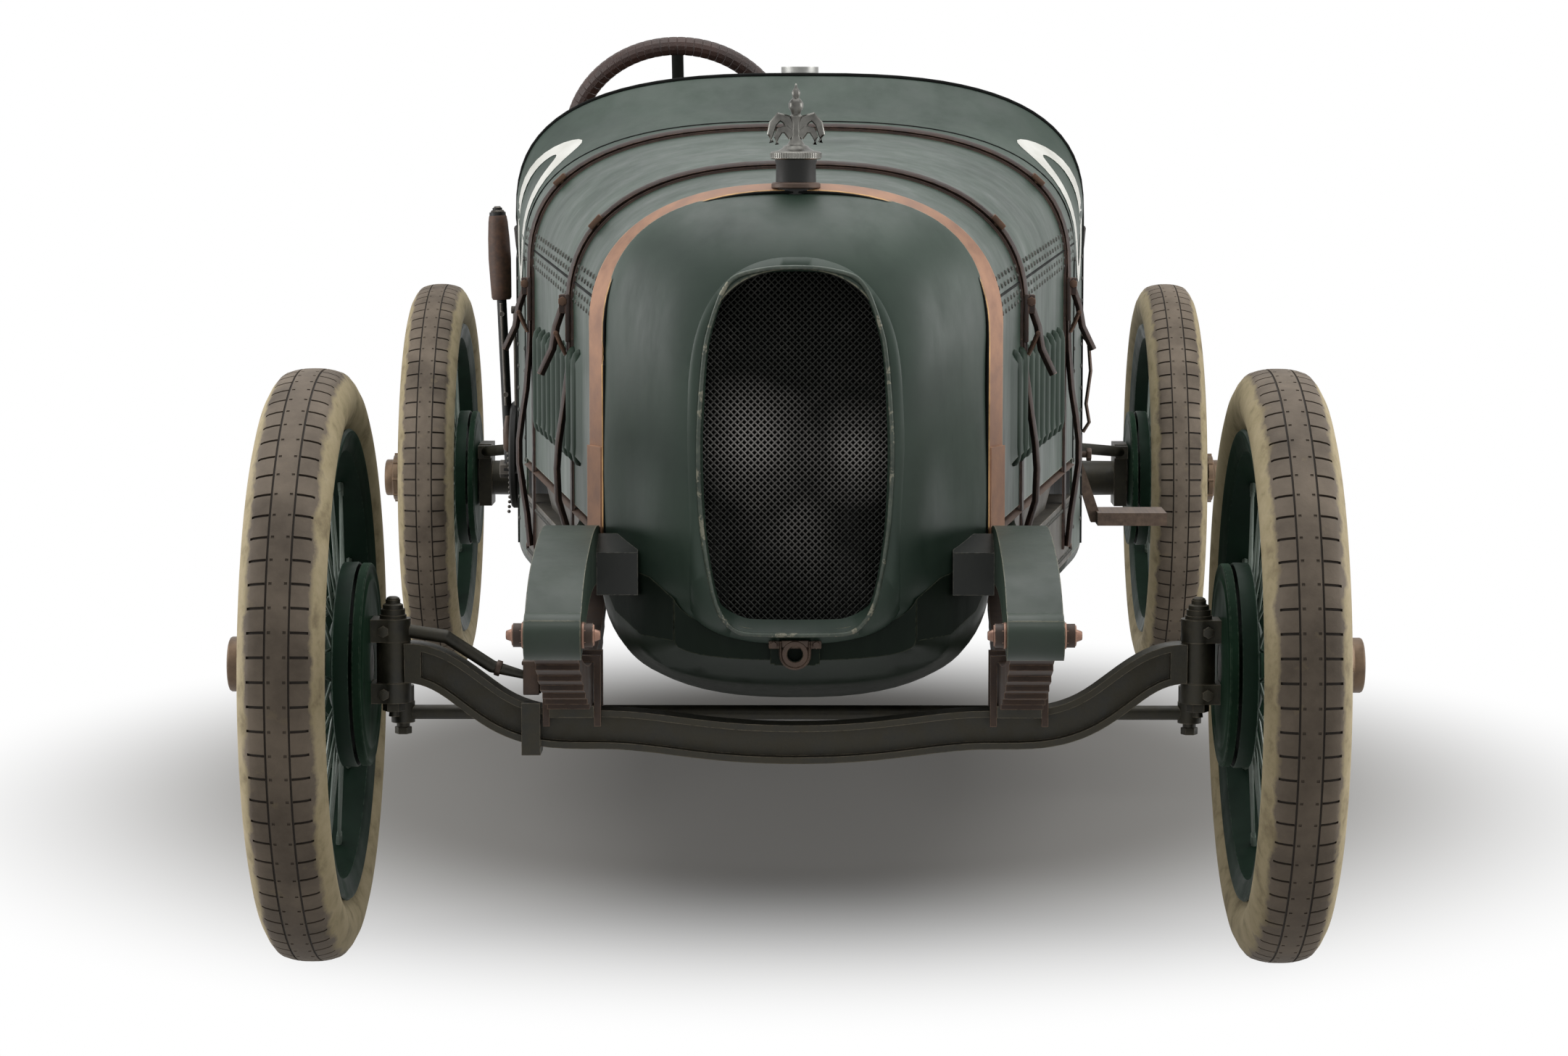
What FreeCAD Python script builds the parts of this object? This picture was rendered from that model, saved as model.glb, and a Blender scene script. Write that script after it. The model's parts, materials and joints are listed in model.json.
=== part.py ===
import FreeCAD
import Part

import math
import os

# A two-seat racing car of about 1912: ladder frame, wire wheels, egg-shaped nose, strapped bonnet,
# flared cowl, open cockpit and pointed tail. Millimetres, +Z up, the nose points along -Y.
# The model is drawn with the front axle at y = 0 and moved at export, so that the origin is on
# the floor under the middle of the car.

V = FreeCAD.Vector
ALONG_X, ALONG_Y, ALONG_Z = V(1, 0, 0), V(0, 1, 0), V(0, 0, 1)
SIDES = (-1, 1)

# Layout of the whole car
WHEELBASE = 3100.0
SPRING_X = 331.0
KINGPIN_REACH = 267.0
TRACK_REAR = 1640.0
TYRE_DIAMETER = 880.0
TYRE_WIDTH = 122.0
TREAD_HALF = 33.0
BEAD_DIAMETER = 696.0
HUB_HEIGHT = TYRE_DIAMETER / 2
HORN_FRONT_Y = -462.0
TAIL_TIP_Y = 3850.0
SEAT_GAP = 0.3
MID_Y = (HORN_FRONT_Y + TAIL_TIP_Y) / 2

# Frame: the horns carry the front springs, so both have one centreline
HORN_X = SPRING_X
HORN_WIDTH = 78.0
HORN_REAR_Y = 50.0
RAIL_WIDTH = 46.0
RAIL_OUTER_X = SPRING_X + 9.0
RAIL_INNER_X = RAIL_OUTER_X - RAIL_WIDTH
RAIL_BOTTOM_Z = 562.0
RAIL_TOP_Z = 622.0
RAIL_REAR_Y = 3700.0
RAIL_WALL = 7.0
CROSS_RADIUS = 23.0
CROSS_Z = 592.0
CROSS_YS = (74.0, 400.0, 1000.0, 1500.0, 2300.0, 3600.0)

# Wheel hubs: how far the brake drum reaches inboard, and the dust shield behind it
DRUM_DEPTH = 64.0
DRUM_GAP = 5.5
SHIELD_DEPTH = 10.0
SHIELD_RADIUS = 149.0
WHEEL_BACK = DRUM_DEPTH + DRUM_GAP + SHIELD_DEPTH

# Front axle and steering
KINGPIN_X = SPRING_X + KINGPIN_REACH
KINGPIN_RADIUS = 14.0
BEAM_HEIGHT = 58.0
BEAM_DEPTH = 46.0
BEAM_FLANGE = 10.0
BEAM_WEB = 14.0
BOSS_BOTTOM_Z = 414.0
BOSS_TOP_Z = 475.0
BOSS_RADIUS = 25.0
YOKE_THICKNESS = 30.0
KNUCKLE_BACK = KINGPIN_X + BOSS_RADIUS + 10.0
TRACK_FRONT = 2 * (KNUCKLE_BACK + WHEEL_BACK)
STEER_ARM_X = RAIL_OUTER_X + 52.0
STEER_ARM_Z = 421.0
STEER_SOCKET_RADIUS = 13.5
TIE_ARM_Y = 128.0
TIE_ROD_Z = 349.0
TIE_ROD_RADIUS = 11.0
DROP_PIVOT_Y = 760.0
DROP_PIVOT_Z = 592.0
DROP_ARM_LENGTH = 171.0
DROP_ARM_THICKNESS = 12.0
BEAM_MIDDLE = ((0.0, 323.0), (140.0, 331.0), (270.0, 345.0))
BEAM_NECK = ((0.0, 352.0), (0.316, 378.0), (0.632, 422.0), (1.0, 444.0))

# Springs
LEAF_WIDTH = 62.0
LEAF_THICKNESS = 8.0
FRONT_LEAVES = 8
FRONT_SPRING_HALF = 430.0
FRONT_EYE_Z = 540.0
FRONT_SEAT_Z = 384.0
SPRING_EYE_RADIUS = 19.0
SPRING_PIN_RADIUS = 11.8
PIN_CLEARANCE = 0.2
REAR_SPRING_X = RAIL_OUTER_X + 44.0
REAR_LEAVES = 7
REAR_SPRING_HALF = 560.0
REAR_EYE_Z = 592.0
REAR_SEAT_Z = 486.0

# Sheet metal
SHEET = 4.0
BAND_Y = 50.0
BONNET_FRONT_Y = 95.0
COWL_FRONT_Y = 1220.0
COWL_RIM_Y = 1400.0
TUB_REAR_Y = 2450.0
BONNET_BOTTOM_Z = 645.0
BAND_BOTTOM_Z = 623.0
HINGE_FRONT_Z = 982.0
HINGE_SLOPE = 0.0416
SKIRT_BOTTOM_Z = 471.0
SKIRT_TOP_Z = 580.0
SKIRT_FRONT_Y = 465.0
STRAP_WIDTH = 26.0
STRAP_THICKNESS = 4.0
STRAP_YS = (365.0, 1050.0)
STRAP_JOIN_Z = 905.0
STRAP_FOOT_Z = 500.0
LOUVRE_FRONT_Y = 240.0
LOUVRE_PITCH = 84.0
LOUVRE_COUNT = 9
LOUVRE_LENGTH = 44.0
LOUVRE_PROUD = 12.0
LOUVRE_LOW_Z = 715.0
LOUVRE_HIGH_Z = 892.0
GRILLE_PITCH = 34.0
GRILLE_BAR = 3.0
GRILLE_SLAB = (14.0, 26.0)
BAND_HALF = HORN_X - HORN_WIDTH / 2 - 4.0
BAND_TOP_Z = 1142.5
BAND_RISE = 222.0
BAND_END_Z = 760.0
FILLER_Y = 71.0
FILLER_RADIUS = 24.0
COWL_STEPS = 6

# y, top, rise of the arch and its power at the bonnet's two ends, and the last three at the cowl's rim
BONNET_ENDS = ((BONNET_FRONT_Y, 1149.0, 222.0, 2.4), (COWL_FRONT_Y, 1244.0, 250.0, 2.7))
COWL_RIM = (1329.0, 260.0, 2.8)

# Nose shell: y at the foot, y at the top, half-width, foot, top, power
NOSE_LOOPS = (
    (BAND_Y, BAND_Y, BAND_HALF - 3.0, 530.0, 1139.0, 2.7),
    (10.0, 18.0, BAND_HALF - 20.0, 516.0, 1127.0, 2.65),
    (-40.0, -20.0, BAND_HALF - 48.0, 504.0, 1109.0, 2.6),
    (-80.0, -54.0, BAND_HALF - 76.0, 499.0, 1088.0, 2.55),
    (-112.0, -82.0, BAND_HALF - 108.0, 498.0, 1062.0, 2.5),
    (-134.0, -100.0, BAND_HALF - 140.0, 502.0, 1036.0, 2.5),
)

# Belly pan between the rails: y, half-width, top edge, lowest point
PAN_FRONT_Y = -112.0
PAN_HANG_Z = CROSS_Z - CROSS_RADIUS - SEAT_GAP
PAN_HALF = RAIL_INNER_X - 5.0
PAN_FRONT = ((PAN_FRONT_Y, PAN_HALF - 113.0, 492.0, 462.0), (-60.0, PAN_HALF - 63.0, 494.0, 420.0),
             (20.0, PAN_HALF - 21.0, 520.0, 394.0), (60.0, PAN_HALF, PAN_HANG_Z, 382.0),
             (480.0, PAN_HALF, PAN_HANG_Z, 376.0), (830.0, PAN_HALF, PAN_HANG_Z, 374.0),
             (850.0, PAN_HALF + 2.0, RAIL_BOTTOM_Z - 1, 374.0))
# and below the cockpit, where it meets the sides: y, how far it lies within them, lowest point
PAN_REAR = ((COWL_FRONT_Y, 5.0, 374.0), (COWL_RIM_Y, 0.0, 376.0), (1750.0, 0.0, 380.0), (2100.0, 0.0, 392.0),
            (2380.0, 0.0, 412.0))
SOCKET_Z = 474.0
SOCKET_LENGTH = 26.0
CRANK_BORE_RADIUS = 11.0
ENGINE_HALF = RAIL_INNER_X - 144.0

# Cockpit and controls
FLOOR_THICKNESS = 12.0
FLOOR_TOP_Z = RAIL_TOP_Z + FLOOR_THICKNESS
TUB_YS = (COWL_RIM_Y + SEAT_GAP, 1750.0, 2100.0, TUB_REAR_Y)
TUB_WALL_TOP_Z = 1300.0
WHEEL_CENTRE = V(57.0 - RAIL_INNER_X, 1900.0, 1205.0)
WHEEL_RADIUS = 207.0
WHEEL_RIM_RADIUS = 18.0
WHEEL_TILT = 27.0
COLUMN_RADIUS = 17.0
COLUMN_TOP = 30.3
COLUMN_LENGTH = 1250.0
SEAT_XS = (-225.0, 225.0)
SEAT_WIDTH = 400.0
SEAT_SHEET = 10.0
SEAT_BASE_Z = FLOOR_TOP_Z + 40.0
CUSHION_HEIGHT = 80.0

# Tail: y, half-width, foot, top, rise of the arch, power
TAIL_STATIONS = ((TUB_REAR_Y, 486.0, RAIL_TOP_Z, 1130.0, 262.0, 2.5), (2800.0, 412.0, RAIL_TOP_Z, 1108.0, 262.0, 2.4),
                 (3200.0, 290.0, 634.0, 1046.0, 240.0, 2.3), (3600.0, 140.0, 676.0, 946.0, 170.0, 2.2),
                 (TAIL_TIP_Y, 34.0, 740.0, 846.0, 66.0, 2.0))

# Wire wheels
RIM_HALF = 48.0
RIM_WELL_RADIUS = 318.0
RIM_WALL = 5.0
HUB_BORE = 24.0
DRUM_RADIUS = 152.0
STUB_RADIUS = 23.95
SPOKES_PER_ROW = 20
SPOKE_SIZE = 5.0

# y and half-width of the bonnet, cowl, cockpit and tail, seen from above
BODY_PLAN = ((BAND_Y, BAND_HALF), (BONNET_FRONT_Y, BAND_HALF + 20.0), (COWL_FRONT_Y, 489.0), (COWL_RIM_Y, 516.0),
             (1750.0, 520.0), (2100.0, 512.0), (TUB_REAR_Y, 486.0))


def body_width(y):
    """Half-width of the body shell at y."""
    for (y0, w0), (y1, w1) in zip(BODY_PLAN, BODY_PLAN[1:]):
        if y <= y1:
            return w0 + (w1 - w0) * (y - y0) / (y1 - y0)
    return BODY_PLAN[-1][1]


def polygon_face(points):
    return Part.Face(Part.makePolygon(list(points) + [points[0]]))


def prism(points, along):
    return polygon_face(points).extrude(along)


def spline(points, closed=False):
    curve = Part.BSplineCurve()
    curve.interpolate(Points=points, PeriodicFlag=closed)
    return curve.toShape()


def box(x0, x1, y0, y1, z0, z1):
    return Part.makeBox(x1 - x0, y1 - y0, z1 - z0, V(x0, y0, z0))


def side_box(side, x0, x1, y0, y1, z0, z1):
    a, b = sorted((side * x0, side * x1))
    return box(a, b, y0, y1, z0, z1)


def rod(start, end, radius):
    return Part.makeCylinder(radius, (end - start).Length, start, end - start)


def mirrored(shape):
    return shape.mirror(V(0, 0, 0), ALONG_X)


def both_sides(shape):
    return [shape, mirrored(shape)]


def fuse(shapes):
    return shapes[0].multiFuse(shapes[1:]) if len(shapes) > 1 else shapes[0]


def mix(a, b, share):
    return a + (b - a) * share


def arch_points(y, half_width, top, rise, power, steps=14):
    """Points over a superelliptic arch from its right foot to its left one."""
    points = []
    for i in range(steps + 1):
        a = math.pi * i / steps
        c, s = math.cos(a), max(math.sin(a), 0.0)
        x = half_width * math.copysign(abs(c) ** (2 / power), c)
        points.append(V(x, y, top - rise + rise * s ** (2 / power)))
    points[0] = V(half_width, y, top - rise)
    points[-1] = V(-half_width, y, top - rise)
    return points


def arch_wire(y, half_width, bottom, top, rise, power, wall=0.0):
    """A tombstone outline at y, or with a wall the outline of a sheet bent to it and open below."""
    def side_and_arch(inset):
        w = half_width - inset
        points = arch_points(y, w, top - inset, rise - inset, power)
        return w, top - rise, spline(points)

    w, spring, arch = side_and_arch(0.0)
    right = Part.makeLine(V(w, y, bottom), V(w, y, spring))
    left = Part.makeLine(V(-w, y, spring), V(-w, y, bottom))
    if not wall:
        return Part.Wire([Part.makeLine(V(-w, y, bottom), V(w, y, bottom)), right, arch, left])
    v, spring, inner = side_and_arch(wall)
    return Part.Wire([
        Part.makeLine(V(v, y, bottom), V(w, y, bottom)), right, arch, left,
        Part.makeLine(V(-w, y, bottom), V(-v, y, bottom)),
        Part.makeLine(V(-v, y, bottom), V(-v, y, spring)), inner,
        Part.makeLine(V(v, y, spring), V(v, y, bottom)),
    ])


def cowl_station(share):
    """Top, rise and power of the cowl's arch: it sweeps up more and more steeply towards the rim."""
    top, rise, power = BONNET_ENDS[1][1:]
    rim_top, rim_rise, rim_power = COWL_RIM
    lift = 0.4 * share + 0.6 * share * share
    return mix(top, rim_top, lift), mix(rise, rim_rise, share), mix(power, rim_power, share)


def bonnet_station(y):
    """Top, rise and power of the bonnet's arch at y."""
    share = (y - BONNET_FRONT_Y) / (COWL_FRONT_Y - BONNET_FRONT_Y)
    return [mix(a, b, share) for a, b in zip(BONNET_ENDS[0][1:], BONNET_ENDS[1][1:])]


def bonnet_slice(y0, y1, bottom, proud=0.0, wall=SHEET):
    """Part of the bonnet's sheet between y0 and y1, or a strip that lies proud of it."""
    wires = []
    for y in (y0, y1):
        top, rise, power = bonnet_station(y)
        wires.append(arch_wire(y, body_width(y) + proud, bottom, top + proud, rise + proud, power, wall))
    return Part.makeLoft(wires, True, True)


def hinge_z(y):
    return HINGE_FRONT_Z + (y - BONNET_FRONT_Y) * HINGE_SLOPE


def hinge_half(high):
    """Everything above or below the hinge line."""
    y0, y1 = BONNET_FRONT_Y - 50, COWL_FRONT_Y + 50
    edge = 1500.0 if high else 300.0
    outline = [V(-700, y0, hinge_z(y0)), V(-700, y1, hinge_z(y1)), V(-700, y1, edge), V(-700, y0, edge)]
    return prism(outline, V(1400, 0, 0))


# Frame rails with the curved horns that carry the front springs
def side_rails():
    half = HORN_WIDTH / 2
    tip_y, tip_z = HORN_FRONT_Y + 32, FRONT_EYE_Z
    top = spline([V(0, HORN_REAR_Y, 640), V(0, -20, 650), V(0, -160, 648), V(0, -260, 634), V(0, -370, 606),
                  V(0, tip_y, tip_z + 31)])
    nose = Part.Arc(V(0, tip_y, tip_z + 31), V(0, HORN_FRONT_Y, tip_z), V(0, tip_y, tip_z - 31)).toShape()
    under = spline([V(0, tip_y, tip_z - 31), V(0, -370, 528), V(0, -250, 562), V(0, -120, 570),
                    V(0, HORN_REAR_Y, RAIL_BOTTOM_Z)])
    back = Part.makeLine(V(0, HORN_REAR_Y, RAIL_BOTTOM_Z), V(0, HORN_REAR_Y, 640))
    horn = Part.Face(Part.Wire([top, nose, under, back])).extrude(V(HORN_WIDTH, 0, 0))
    horn.translate(V(HORN_X - half, 0, 0))
    slot_half = LEAF_WIDTH / 2 + 1
    slot = box(SPRING_X - slot_half, SPRING_X + slot_half, HORN_FRONT_Y - 10, -388, 480,
               FRONT_EYE_Z + SPRING_EYE_RADIUS + 3)
    rail = box(RAIL_INNER_X, RAIL_OUTER_X, HORN_REAR_Y, RAIL_REAR_Y, RAIL_BOTTOM_Z, RAIL_TOP_Z)
    hollow = box(RAIL_INNER_X - 1, RAIL_OUTER_X - RAIL_WALL, HORN_REAR_Y + 90, RAIL_REAR_Y - 60,
                 RAIL_BOTTOM_Z + RAIL_WALL, RAIL_TOP_Z - RAIL_WALL)
    hanger = box(RAIL_INNER_X, HORN_X + half, FRONT_SPRING_HALF - 20, FRONT_SPRING_HALF + 20,
                 FRONT_EYE_Z - 22, RAIL_BOTTOM_Z + 5)
    gap = box(SPRING_X - slot_half, SPRING_X + slot_half, FRONT_SPRING_HALF - 30, FRONT_SPRING_HALF + 30,
              FRONT_EYE_Z - 40, RAIL_BOTTOM_Z - 1)
    solid = fuse([horn.cut(slot), rail.cut(hollow), hanger.cut(gap)])
    for y in (-FRONT_SPRING_HALF, FRONT_SPRING_HALF):
        solid = solid.cut(Part.makeCylinder(SPRING_PIN_RADIUS + PIN_CLEARANCE, 2 * HORN_WIDTH,
                                            V(HORN_X - HORN_WIDTH, y, FRONT_EYE_Z), ALONG_X))
    return both_sides(solid)


def cross_members():
    inner = RAIL_OUTER_X - RAIL_WALL
    tubes = []
    for y in CROSS_YS:
        reach = RAIL_INNER_X if y < HORN_REAR_Y + 90 + CROSS_RADIUS or y > RAIL_REAR_Y - 60 - CROSS_RADIUS else inner
        tubes.append(rod(V(-reach, y, CROSS_Z), V(reach, y, CROSS_Z), CROSS_RADIUS))
    return tubes


def egg_wire(loop, inset=0.0, push=0.0):
    """A closed outline with a rounded top and foot, its plane leaning back as the loop says."""
    y_foot, y_top, half_width, foot, top, power = loop
    w = half_width - inset
    rise, drop = 0.36 * (top - foot) - inset, 0.13 * (top - foot) - inset
    high, low = top - inset - rise, foot + inset + drop

    def place(x, z):
        share = (z - foot) / (top - foot)
        return V(x, mix(y_foot, y_top, share) + push, z)

    points = []
    steps = 14
    for sign, level, height in ((1, high, rise), (-1, low, -drop)):
        for i in range(steps + 1):
            a = math.pi * i / steps
            c, s = sign * math.cos(a), max(math.sin(a), 0.0)
            points.append(place(w * math.copysign(abs(c) ** (2 / power), c), level + height * s ** (2 / power)))
    return Part.Wire([spline(points, True)])


def nose_solid(inset=0.0):
    return Part.makeLoft([egg_wire(loop, inset) for loop in NOSE_LOOPS], True)


def nose_shell():
    shell = nose_solid().cut(nose_solid(SHEET + 2))
    for side in SIDES:
        shell = shell.cut(side_box(side, HORN_X - HORN_WIDTH / 2 - SEAT_GAP, 400, 0, 60, 400, 652))
    return shell.cut(filler_bore())


def nose_brackets():
    """Wedges that carry the nose on the horns."""
    outer = HORN_X - HORN_WIDTH / 2
    inner = outer - 61.0
    outline = [V(inner, -62, 551), V(inner, -62, 614), V(inner, 0, 636), V(inner, 0, 551)]
    wedge = prism(outline, V(outer - inner, 0, 0))
    nose = nose_solid(-SEAT_GAP / 3)
    return [max(side.cut(nose).Solids, key=lambda s: s.Volume) for side in both_sides(wedge)]


def radiator_core():
    """The core stands on the first cross member, which is as deep as the core."""
    foot = CROSS_Z + CROSS_RADIUS
    wires = [egg_wire((y, y, BAND_HALF - 73.0, foot, 1070.0, 2.8))
             for y in (CROSS_YS[0] - CROSS_RADIUS, CROSS_YS[0] + CROSS_RADIUS)]
    return Part.makeLoft(wires, True)


def filler_bore():
    return Part.makeCylinder(FILLER_RADIUS + SEAT_GAP, 300.0, V(0, FILLER_Y, 1000), ALONG_Z)


def filler_cap():
    neck = Part.makeCylinder(FILLER_RADIUS, 120.0, V(0, FILLER_Y, 1068), ALONG_Z)
    lid = Part.makeCylinder(36.0, 9.0, V(0, FILLER_Y, 1188), ALONG_Z)
    plinth = Part.makeCone(20.0, 14.0, 9.0, V(0, FILLER_Y, 1197), ALONG_Z)
    stem = Part.makeCone(9.0, 6.0, 48.0, V(0, FILLER_Y, 1206), ALONG_Z)
    urn = Part.makeSphere(10.0, V(0, FILLER_Y, 1262))
    tip = Part.makeCone(6.0, 2.0, 30.0, V(0, FILLER_Y, 1268), ALONG_Z)
    leaves = []
    for side in SIDES:
        outline = [V(0, -4, 1212), V(side * 16, -4, 1222), V(side * 40, -4, 1214), V(side * 38, -4, 1250),
                   V(side * 26, -4, 1262), V(side * 8, -4, 1250), V(0, -4, 1240)]
        leaf = prism(outline, V(0, 8, 0))
        leaf.translate(V(0, FILLER_Y, 0))
        leaves.append(leaf)
    return fuse([neck, lid, plinth, stem, urn, tip] + leaves).cut(radiator_core())


def grille_mesh():
    """Crossed wires in a ring that fits the nose's inner face."""
    y_foot, y_top, half_width, foot, top, power = NOSE_LOOPS[-1]

    def slab(near, far):
        lean = (y_top - y_foot) / (top - foot)
        low, high = 300.0, 1300.0
        outline = []
        for push, z in ((near, low), (near, high), (far, high), (far, low)):
            outline.append(V(-500, y_foot + (z - foot) * lean + push, z))
        return prism(outline, V(1000, 0, 0))

    room = nose_solid(SHEET + 2).common(slab(*GRILLE_SLAB))
    hole = Part.makeLoft([egg_wire((y_foot, y_top, half_width - 12, foot + 10, top - 10, power), 0.0, push)
                          for push in (GRILLE_SLAB[0] - 5, GRILLE_SLAB[1] + 5)], True)
    ring = room.cut(hole)
    reach = 420.0
    lean = math.degrees(math.atan2(y_top - y_foot, top - foot))
    middle = (foot + top) / 2
    clip = Part.makeLoft([egg_wire((y_foot, y_top, half_width - 10, foot + 8, top - 8, power), 0.0, push)
                          for push in (GRILLE_SLAB[0] + 2, GRILLE_SLAB[1] - 2)], True)
    bars = []
    for depth, angle in ((GRILLE_SLAB[0] + 3, 52.0), (GRILLE_SLAB[0] + 3 + GRILLE_BAR, -52.0)):
        count = int(reach / GRILLE_PITCH)
        for i in range(-count, count + 1):
            bar = Part.makeBox(GRILLE_BAR, GRILLE_BAR, 2 * reach, V(i * GRILLE_PITCH, 0, -reach))
            bar.rotate(V(0, 0, 0), ALONG_Y, angle)
            bar.rotate(V(0, 0, 0), ALONG_X, -lean)
            bar.translate(V(0, mix(y_foot, y_top, 0.5) + depth, middle))
            for piece in bar.common(clip).Solids:
                if piece.Volume > 20.0:
                    bars.append(piece)
    return fuse([ring] + bars)


def copper_band():
    """The trim strip between nose and bonnet, with its thicker lower ends."""
    def strip(proud):
        wires = []
        for y, spread, lift, wall in ((BAND_Y + SEAT_GAP, 0.0, 0.0, 8.0), (BONNET_FRONT_Y - SEAT_GAP, 22.0, 9.5, 10.0)):
            wires.append(arch_wire(y, BAND_HALF + spread + proud, BAND_BOTTOM_Z, BAND_TOP_Z + lift + proud,
                                   BAND_RISE + proud, 2.4, wall + proud))
        return Part.makeLoft(wires, True, True)

    ends = strip(4.0).common(box(-400, 400, BAND_Y, BONNET_FRONT_Y, BAND_BOTTOM_Z, BAND_END_Z))
    return fuse([strip(0.0)] + ends.Solids).cut(filler_bore())


def pan_wire(y, half_width, top, low):
    """A sheet bent to a shallow bowl and open above."""
    def bowl(inset):
        w, depth = half_width - inset, top - low - inset
        steps = 10
        points = []
        for i in range(steps + 1):
            a = math.pi * i / steps
            c, s = math.cos(a), max(math.sin(a), 0.0)
            points.append(V(-w * math.copysign(abs(c) ** 0.8, c), y, top - depth * s ** 0.8))
        points[0], points[-1] = V(-w, y, top), V(w, y, top)
        return w, spline(points)

    w, outer = bowl(0.0)
    v, inner = bowl(SHEET)
    right = Part.makeLine(V(w, y, top), V(v, y, top))
    left = Part.makeLine(V(-v, y, top), V(-w, y, top))
    return Part.Wire([outer, right, inner, left])


def belly_pan():
    stations = list(PAN_FRONT)
    stations += [(y, body_width(y) - inset, SKIRT_BOTTOM_Z, low) for y, inset, low in PAN_REAR]
    return Part.makeLoft([pan_wire(*station) for station in stations], True, True)


def crank_socket():
    """A flanged tube for the starting handle, on the pan's front edge."""
    face = V(0, PAN_FRONT_Y, SOCKET_Z)
    plate = box(-36, 36, PAN_FRONT_Y - 14, PAN_FRONT_Y - 8, SOCKET_Z - 16, SOCKET_Z + 18)
    tube = Part.makeCylinder(18.0, SOCKET_LENGTH, face, -ALONG_Y)
    foot = box(-30, 30, PAN_FRONT_Y - 14, PAN_FRONT_Y, SOCKET_Z - 18, SOCKET_Z - 13)
    bore = Part.makeCylinder(CRANK_BORE_RADIUS, SOCKET_LENGTH, face, -ALONG_Y)
    return fuse([plate, tube, foot]).cut(bore)


def plan_strip(ys, thickness, low, high, shift=0.0):
    """An upright sheet that follows the body's side, on the +x side."""
    outer = [V(body_width(y) + shift, y, low) for y in ys]
    inner = [V(body_width(y) + shift - thickness, y, low) for y in reversed(ys)]
    return prism(outer + inner, V(0, 0, high - low))


def side_skirts():
    ys = (SKIRT_FRONT_Y, COWL_FRONT_Y - SEAT_GAP)
    wall = plan_strip(ys, SHEET, SKIRT_BOTTOM_Z, SKIRT_TOP_Z)
    shelf = [V(body_width(y), y, SKIRT_TOP_Z - SHEET) for y in ys]
    shelf += [V(RAIL_OUTER_X, y, SKIRT_TOP_Z - SHEET) for y in reversed(ys)]
    skirt = wall.fuse(prism(shelf, V(0, 0, SHEET)))
    slot = box(RAIL_OUTER_X - 1, RAIL_OUTER_X + DROP_ARM_THICKNESS + 18, DROP_PIVOT_Y - 45, DROP_PIVOT_Y + 45,
               SKIRT_TOP_Z - 20, SKIRT_TOP_Z + 20)
    return [mirrored(skirt).cut(mirrored(slot)), skirt]


def engine_block():
    return box(-ENGINE_HALF, ENGINE_HALF, 300, 1060, CROSS_Z + CROSS_RADIUS, 1000)


def bulkhead():
    y0, y1 = COWL_FRONT_Y + 1, COWL_FRONT_Y + 7
    top, rise, power = BONNET_ENDS[1][1:]
    inset = SHEET + 0.5
    wires = [arch_wire(y, body_width(COWL_FRONT_Y) - inset, RAIL_TOP_Z, top - inset, rise - inset, power)
             for y in (y0, y1)]
    return Part.makeLoft(wires, True, True).cut(column_tube(SEAT_GAP))


def cowl():
    wires = []
    for i in range(COWL_STEPS + 1):
        y = mix(COWL_FRONT_Y, COWL_RIM_Y, i / COWL_STEPS)
        top, rise, power = cowl_station(i / COWL_STEPS)
        wires.append(arch_wire(y, body_width(y), SKIRT_BOTTOM_Z, top, rise, power, SHEET))
    return Part.makeLoft(wires, True, True)


def cockpit_sides():
    """The cockpit walls, with the sweep of the elbow cut-outs."""
    wall = plan_strip(TUB_YS, SHEET, SKIRT_BOTTOM_Z, TUB_WALL_TOP_Z)
    rear = TUB_REAR_Y + 10
    opening = Part.Face(Part.Wire([
        spline([V(0, COWL_RIM_Y - 10, 1062), V(0, 1520, 985), V(0, 1720, 940), V(0, 2100, 952), V(0, rear, 1005)]),
        Part.makeLine(V(0, rear, 1005), V(0, rear, 1500)),
        Part.makeLine(V(0, rear, 1500), V(0, COWL_RIM_Y - 10, 1500)),
        Part.makeLine(V(0, COWL_RIM_Y - 10, 1500), V(0, COWL_RIM_Y - 10, 1062)),
    ])).extrude(V(700, 0, 0))
    return both_sides(wall.cut(opening))


def cockpit_floor():
    ys = (COWL_FRONT_Y + 7,) + TUB_YS
    right = [V(body_width(y) - SHEET - SEAT_GAP, y, RAIL_TOP_Z) for y in ys]
    left = [V(-p.x, p.y, p.z) for p in reversed(right)]
    return prism(right + left, V(0, 0, FLOOR_THICKNESS))


def tail():
    wires = [arch_wire(*station) for station in TAIL_STATIONS]
    below = box(-600, 600, TUB_REAR_Y - 1, RAIL_REAR_Y + 1, RAIL_TOP_Z - 60, RAIL_TOP_Z)
    return Part.makeLoft(wires, True).cut(below)


def seat_shells():
    seats = []
    half = SEAT_WIDTH / 2
    for x in SEAT_XS:
        floor, base = FLOOR_TOP_Z, SEAT_BASE_Z
        profile = [V(0, 1960, floor), V(0, 2320, floor), V(0, 2425, 1128), V(0, 2412, 1130), V(0, 2306, base),
                   V(0, 1960, base)]
        back = prism(profile, V(SEAT_WIDTH, 0, 0))
        back.translate(V(x - half, 0, 0))
        sides = []
        for edge in (x - half, x + half - SEAT_SHEET):
            outline = [V(edge, 1980, floor), V(edge, 2320, floor), V(edge, 2425, 1100), V(edge, 2360, 1080),
                       V(edge, 2230, 880), V(edge, 2020, 800)]
            sides.append(prism(outline, V(SEAT_SHEET, 0, 0)))
        seats.append(fuse([back] + sides).removeSplitter())
    return seats


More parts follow.
